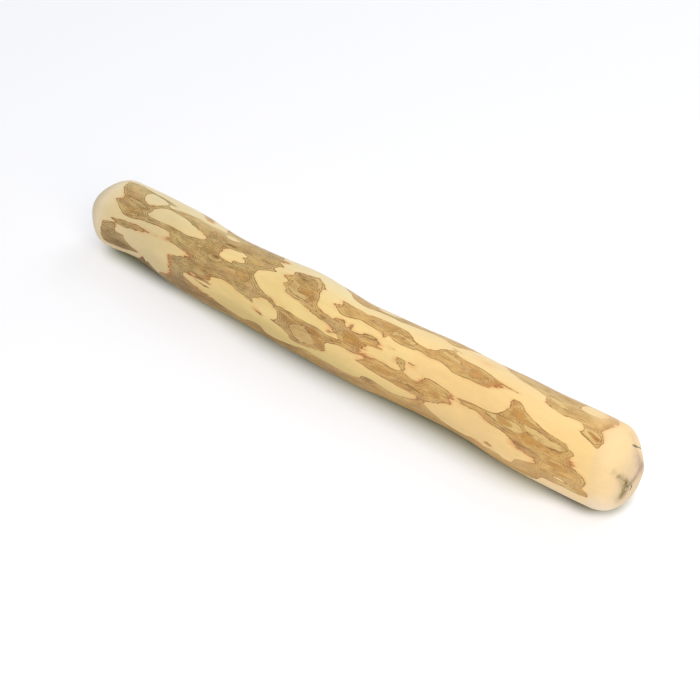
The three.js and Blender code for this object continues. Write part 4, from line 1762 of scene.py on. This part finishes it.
@dataclass
class Stick:
    """The stick itself: a fine mesh on the branch's form, and the facts its finish reads."""

    form: BranchForm = BranchForm()
    bark_map: BarkMap = BarkMap()
    finish: BranchFinish = BranchFinish()
    sectors: int = 164
    shaft_rings: int = 500
    end_rings: int = 44
    seam: int = 180  # the angle at which each ring starts
    pith_thin: Place = (1.6, -1.0)  # across and up from the middle line, at the thin end
    pith_thick: Place = (-2.77, -2.36)
    ring_gap: float = 1.3  # between two years' growth, in mm
    end_grain: Span = (0.55, 0.98)  # shares of the radius between which it runs out
    uv_name: str = "OFBake"
    sheet_gap: float = 3.0  # between the parts of the unrolled sheet, in mm
    sheet_cells: int = 2  # along each of its sides
    strips: int = 3  # that the shaft is cut into, each in a cell
    disc_scale: float = 0.78  # the ends' faces inside this share of the radius are unrolled as discs
    disc_stretch: float = 1.6
    disc_columns: Span = (1.25, 1.75)  # where the discs of the thin and the thick end lie, in cells
    disc_row: float = 1.5

    def points(self) -> tuple[np.ndarray, np.ndarray, np.ndarray, Rings]:
        """Works out the mesh's points, ring by ring and then the two tips.

        Returns:
            The points, the same points from the middle line, their angles, and the rings.
        """
        rings = self.form.rings(self.shaft_rings, self.end_rings)
        angles = self.seam + np.arange(self.sectors) * 360 / self.sectors
        points, from_heart = self.form.surface(rings, angles)
        end = rings.end[:, None]
        points[..., 0] -= end * sum(pit.depth * pit.share(from_heart, end) for pit in PITS)
        tips = [self.form.tip(end) for end in (-1, 1)]
        points = np.concatenate([points.reshape(-1, 3), [tip[0] for tip in tips]])
        from_heart = np.concatenate([from_heart.reshape(-1, 3), [tip[1] for tip in tips]])
        angle = np.concatenate([np.tile(angles, len(rings.along)), [0.0, 0.0]])
        return points, from_heart, angle, rings

    def faces(self, count: int) -> tuple[np.ndarray, np.ndarray]:
        """Joins the rings with four-sided faces and the tips with three-sided ones.

        Args:
            count: How many rings there are.

        Returns:
            The corners of the four-sided faces and of the three-sided ones.
        """
        s = self.sectors
        i, k = np.meshgrid(np.arange(count - 1), np.arange(s), indexing="ij")
        a, b = (i * s + k).ravel(), (i * s + (k + 1) % s).ravel()
        quads = np.stack([a, b, b + s, a + s], axis=1)
        k = np.arange(s)
        after, last = (k + 1) % s, (count - 1) * s
        thin = np.stack([np.full(s, count * s), after, k], axis=1)
        thick = np.stack([np.full(s, count * s + 1), last + k, last + after], axis=1)
        return quads, np.concatenate([thin, thick])

    def unrolled(
        self, quads: np.ndarray, triangles: np.ndarray, from_heart: np.ndarray, rings: Rings
    ) -> np.ndarray:
        """Unrolls the surface for a painted copy: three strips of the shaft, and a disc for each end.

        Args:
            quads: The four-sided faces.
            triangles: The three-sided ones.
            from_heart: The points, measured from the middle line.
            rings: The rings.

        Returns:
            A place on the sheet, 0 to 1, for each corner of each face in turn.
        """
        s, count, side = self.sectors, len(rings.along), self.sheet_cells
        radius = rings.scale * self.bark_map.girth_radius
        run = np.concatenate([[0], np.cumsum(np.hypot(np.diff(rings.along), np.diff(radius)))])
        on_strip = np.flatnonzero(rings.scale >= self.disc_scale)
        first, last = on_strip[0], on_strip[-1]
        girth = 2 * np.pi * self.bark_map.girth_radius
        cell = girth + self.sheet_gap
        strip = (run[last] - run[first]) / self.strips
        ring, sector = quads[:, 0] // s, quads[:, 0] % s
        along_shaft = (run[ring] + run[ring + 1]) / 2 - run[first]
        column = np.clip(along_shaft // strip, 0, self.strips - 1).astype(int)[:, None]
        corner_ring = ring[:, None] + np.array([0, 0, 1, 1])
        corner_sector = sector[:, None] + np.array([0, 1, 1, 0])
        u = run[corner_ring] - run[first] - column * strip + (column % side) * cell
        v = corner_sector * girth / s + (column // side) * cell

        thin, thick = (cell * place for place in self.disc_columns)
        row = cell * self.disc_row
        on_shaft = ((ring >= first) & (ring < last))[:, None]
        disc = self.disc_stretch * from_heart[quads][..., 1:]
        middle = np.where((ring < count // 2)[:, None], thin, thick)
        u = np.where(on_shaft, u, middle + disc[..., 0])
        v = np.where(on_shaft, v, row + disc[..., 1])
        tips = self.disc_stretch * from_heart[triangles][..., 1:]
        middle = np.where(np.arange(2 * s) < s, thin, thick)[:, None]
        tip_places = np.stack([middle + tips[..., 0], row + tips[..., 1]], axis=-1)
        places = np.concatenate([np.stack([u, v], axis=-1).reshape(-1, 2), tip_places.reshape(-1, 2)])
        return (places + self.sheet_gap / 2) / (side * cell)

    def facts(self, from_heart: np.ndarray, angle: np.ndarray, rings: Rings) -> dict[str, np.ndarray]:
        """Works out what the finish reads at each point.

        Args:
            from_heart: The points, measured from the middle line.
            angle: Their angles.
            rings: The rings.

        Returns:
            An array for each attribute's name.
        """
        along = from_heart[:, 0]
        radius = self.bark_map.girth_radius
        facts = {GRAIN_PLACE: from_heart}
        facts |= {cover.value: depth for cover, depth in self.bark_map.depths(along, angle).items()}
        for tint in Tint:
            weights = [spot.weight(along, angle, radius) for spot in SPOTS.get(tint, ())]
            weights += [stain.weight(from_heart) for stain in END_STAINS.get(tint, ())]
            facts[tint.value] = np.sum(weights, axis=0)
        scale = np.concatenate([np.repeat(rings.scale, self.sectors), [0.0, 0.0]])
        facts[END_GRAIN] = 1 - smooth_share(scale, *self.end_grain)
        share = smooth_share(along, -self.form.length / 2, self.form.length / 2)
        pith = [thin + (thick - thin) * share for thin, thick in zip(self.pith_thin, self.pith_thick)]
        from_pith = np.hypot(from_heart[:, 1] - pith[0], from_heart[:, 2] - pith[1])
        facts[RING_ANGLE] = 2 * np.pi * from_pith / self.ring_gap
        return facts

    def build(self) -> bpy.types.Object:
        """Builds the mesh, sets it where its solid stands, and dresses it.

        Returns:
            The stick.
        """
        points, from_heart, angle, rings = self.points()
        quads, triangles = self.faces(len(rings.along))
        low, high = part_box(NODE)
        middle = (low + high) / 2
        centre = (points.min(0) + points.max(0)) / 2
        points = points * MM + [middle.x - centre[0] * MM, middle.y - centre[1] * MM, 0]

        mesh = bpy.data.meshes.new("coffee_wood_branch")
        mesh.from_pydata(points, [], quads.tolist() + triangles.tolist())
        mesh.shade_smooth()
        for name, values in self.facts(from_heart, angle, rings).items():
            is_vector = values.ndim == 2
            layer = mesh.attributes.new(name, "FLOAT_VECTOR" if is_vector else "FLOAT", "POINT")
            layer.data.foreach_set("vector" if is_vector else "value", values.astype(np.float32).ravel())
        sheet = mesh.uv_layers.new(name=self.uv_name)
        places = self.unrolled(quads, triangles, from_heart, rings)
        sheet.data.foreach_set("uv", places.astype(np.float32).ravel())
        mesh.materials.append(self.finish.material())
        mesh.validate()

        stick = bpy.data.objects.new("coffee_wood_branch", mesh)
        bpy.context.scene.collection.objects.link(stick)
        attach(stick, BODY)
        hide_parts(NODE)
        return stick


# The studio


@dataclass(frozen=True)
class SoftBox:
    """A square lamp that hangs over the stick and faces it."""

    name: str
    place: tuple[float, float, float]
    size: float
    watts: float
    colour: Colour = (255, 255, 255)


@dataclass
class Studio:
    """A pale floor with a painted shadow, soft light from all round and above, and the camera."""

    look_at: tuple[float, float, float] = (3.29, 0.31, 5.9)  # in mm, as is the distance
    distance: float = 606.35
    azimuth: float = 40.148  # in degrees, as is the elevation
    elevation: float = 39.151
    focal_pixels: float = 1650.93  # the focal length, in pixels of the image
    image_pixels: float = 700
    sensor: float = 36  # in mm
    clip_start: float = 0.01  # in m
    floor_size: float = 6.0  # in m
    floor_colour: Colour = (200, 200, 202)
    floor_roughness: float = 0.9
    floor_sheen: float = 0.1  # the level of its reflections
    # painted light: the floor glows, less near the stick, which paints the stick's shadow darker and tighter
    floor_glow: float = 0.78  # keeps the floor white away from the stick's shadow
    # painted shadow: the floor's colour near the stick, where the glow fades
    floor_shadow_tint: Colour = (194, 201, 188)  # its colour under the stick
    glow_line: Span = (-110, 112.5)  # where the line that the glow keeps off starts and ends, in mm
    glow_shift: Ramp = Ramp(110.0, 120.0, 0.0, -2.0)  # of that line, by the place along it
    glow_start: Span = (4, 6)  # how far from the line the glow starts: by the middle, by the ends
    glow_full: Span = (22, 13)  # and how far off it is full
    by_thin_end: Ramp = Ramp(-20.0, -70.0, 0.0, 0.7)  # how far a place counts as by that end
    by_thick_end: Ramp = Ramp(85.0, 110.0)
    sky: float = 0.25
    sky_colour: Colour = (238, 244, 255)
    lamps: tuple[SoftBox, ...] = (
        SoftBox("soft_top", (0.15, 0.25, 1.3), 1.4, 5.1, (255, 253, 250)),
        SoftBox("soft_near", (0.35, -0.25, 0.6), 0.4, 2.0, (255, 250, 241)),
        SoftBox("soft_right", (1.1, -0.5, 0.7), 0.7, 4.75, (255, 249, 238)),
        SoftBox("soft_back", (0.2, 1.1, 0.9), 0.9, 6.2, (240, 247, 255)),
        SoftBox("soft_left", (-1.1, -0.4, 0.7), 0.7, 1.6),
    )

    def build_camera(self) -> bpy.types.Object:
        """Sets the camera at the photograph's viewing angle.

        Returns:
            The camera.
        """
        lens = self.focal_pixels / self.image_pixels * self.sensor
        data = bpy.data.cameras.new("view")
        data.lens = lens
        data.sensor_width = self.sensor
        data.clip_start = self.clip_start
        camera = bpy.data.objects.new("view", data)
        turn, tilt = math.radians(self.azimuth), math.radians(self.elevation)
        back = Vector((math.sin(turn) * math.cos(tilt), -math.cos(turn) * math.cos(tilt), math.sin(tilt)))
        camera.location = (Vector(self.look_at) + back * self.distance) * MM
        camera.rotation_euler = back.to_track_quat("Z", "Y").to_euler()
        bpy.context.scene.collection.objects.link(camera)
        bpy.context.scene.camera = camera
        return camera

    def build_floor(self) -> bpy.types.Object:
        """Lays the floor: it glows away from the stick and is tinted near it, which paints the stick's
        shadow.

        Returns:
            The floor.
        """
        half = self.floor_size / 2
        corners = [(-half, -half, 0), (half, -half, 0), (half, half, 0), (-half, half, 0)]
        mesh = bpy.data.meshes.new("floor")
        mesh.from_pydata(corners, [], [(0, 1, 2, 3)])
        g = Graph("pale_floor")
        along, across, _ = g.axes(g.add("ShaderNodeNewGeometry").outputs["Position"])
        along, across = g.times(along, 1 / MM), g.times(across, 1 / MM)
        thin_end, thick_end = self.glow_line
        past_thin_end = g.plus(g.times(along, -1.0), thin_end)
        past = g.math("MAXIMUM", g.plus(along, -thick_end), past_thin_end)
        past = g.math("MAXIMUM", past, 0.0)
        across = g.plus(across, g.rise(along, self.glow_shift))
        off = g.math("SQRT", g.plus(g.times(past, past), g.times(across, across)))
        by_end = g.plus(g.rise(along, self.by_thin_end), g.rise(along, self.by_thick_end))
        start, full = (
            g.plus(g.times(by_end, at_end - middle), middle)
            for middle, at_end in (self.glow_start, self.glow_full)
        )
        # painted light: the floor glows fully only away from the stick, so its shadow is painted darker and
        # tighter
        glow_share = g.rise(off, Ramp(start, full))
        glow = g.times(glow_share, self.floor_glow)
        shader = g.add("ShaderNodeBsdfPrincipled")
        # painted shadow: the floor takes its darker tint near the stick
        g.feed(shader.inputs["Base Color"], g.blend(glow_share, self.floor_shadow_tint, self.floor_colour))
        shader.inputs["Roughness"].default_value = self.floor_roughness
        shader.inputs["Specular IOR Level"].default_value = self.floor_sheen
        shader.inputs["Emission Color"].default_value = linear(self.floor_colour)
        g.feed(shader.inputs["Emission Strength"], glow)
        out = g.add("ShaderNodeOutputMaterial")
        g.feed(out.inputs["Surface"], shader.outputs[0])
        mesh.materials.append(g.material)
        floor = bpy.data.objects.new("floor", mesh)
        bpy.context.scene.collection.objects.link(floor)
        return floor

    def build_light(self) -> None:
        """Lights the stick: an even pale sky and the soft boxes."""
        world = bpy.data.worlds.new("studio")
        world.use_nodes = True
        sky = world.node_tree.nodes["Background"]
        sky.inputs["Color"].default_value = linear(self.sky_colour)
        sky.inputs["Strength"].default_value = self.sky
        bpy.context.scene.world = world
        for box in self.lamps:
            data = bpy.data.lights.new(box.name, "AREA")
            data.size = box.size
            data.energy = box.watts
            data.color = linear(box.colour)[:3]
            lamp = bpy.data.objects.new(box.name, data)
            lamp.location = box.place
            lamp.rotation_euler = Vector(box.place).to_track_quat("Z", "Y").to_euler()
            bpy.context.scene.collection.objects.link(lamp)

    def build(self) -> None:
        """Builds the studio, and shows colours as they are."""
        self.build_camera()
        self.build_floor()
        self.build_light()
        bpy.context.scene.view_settings.view_transform = "Standard"


def main() -> None:
    """Builds the studio and the stick round the frame."""
    logging.basicConfig(level=logging.INFO, format="%(message)s")
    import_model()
    Studio().build()
    LOG.info("built the studio")
    stick = Stick().build()
    LOG.info("built %s with %d faces", stick.name, len(stick.data.polygons))


if __name__ == "__main__":
    main()
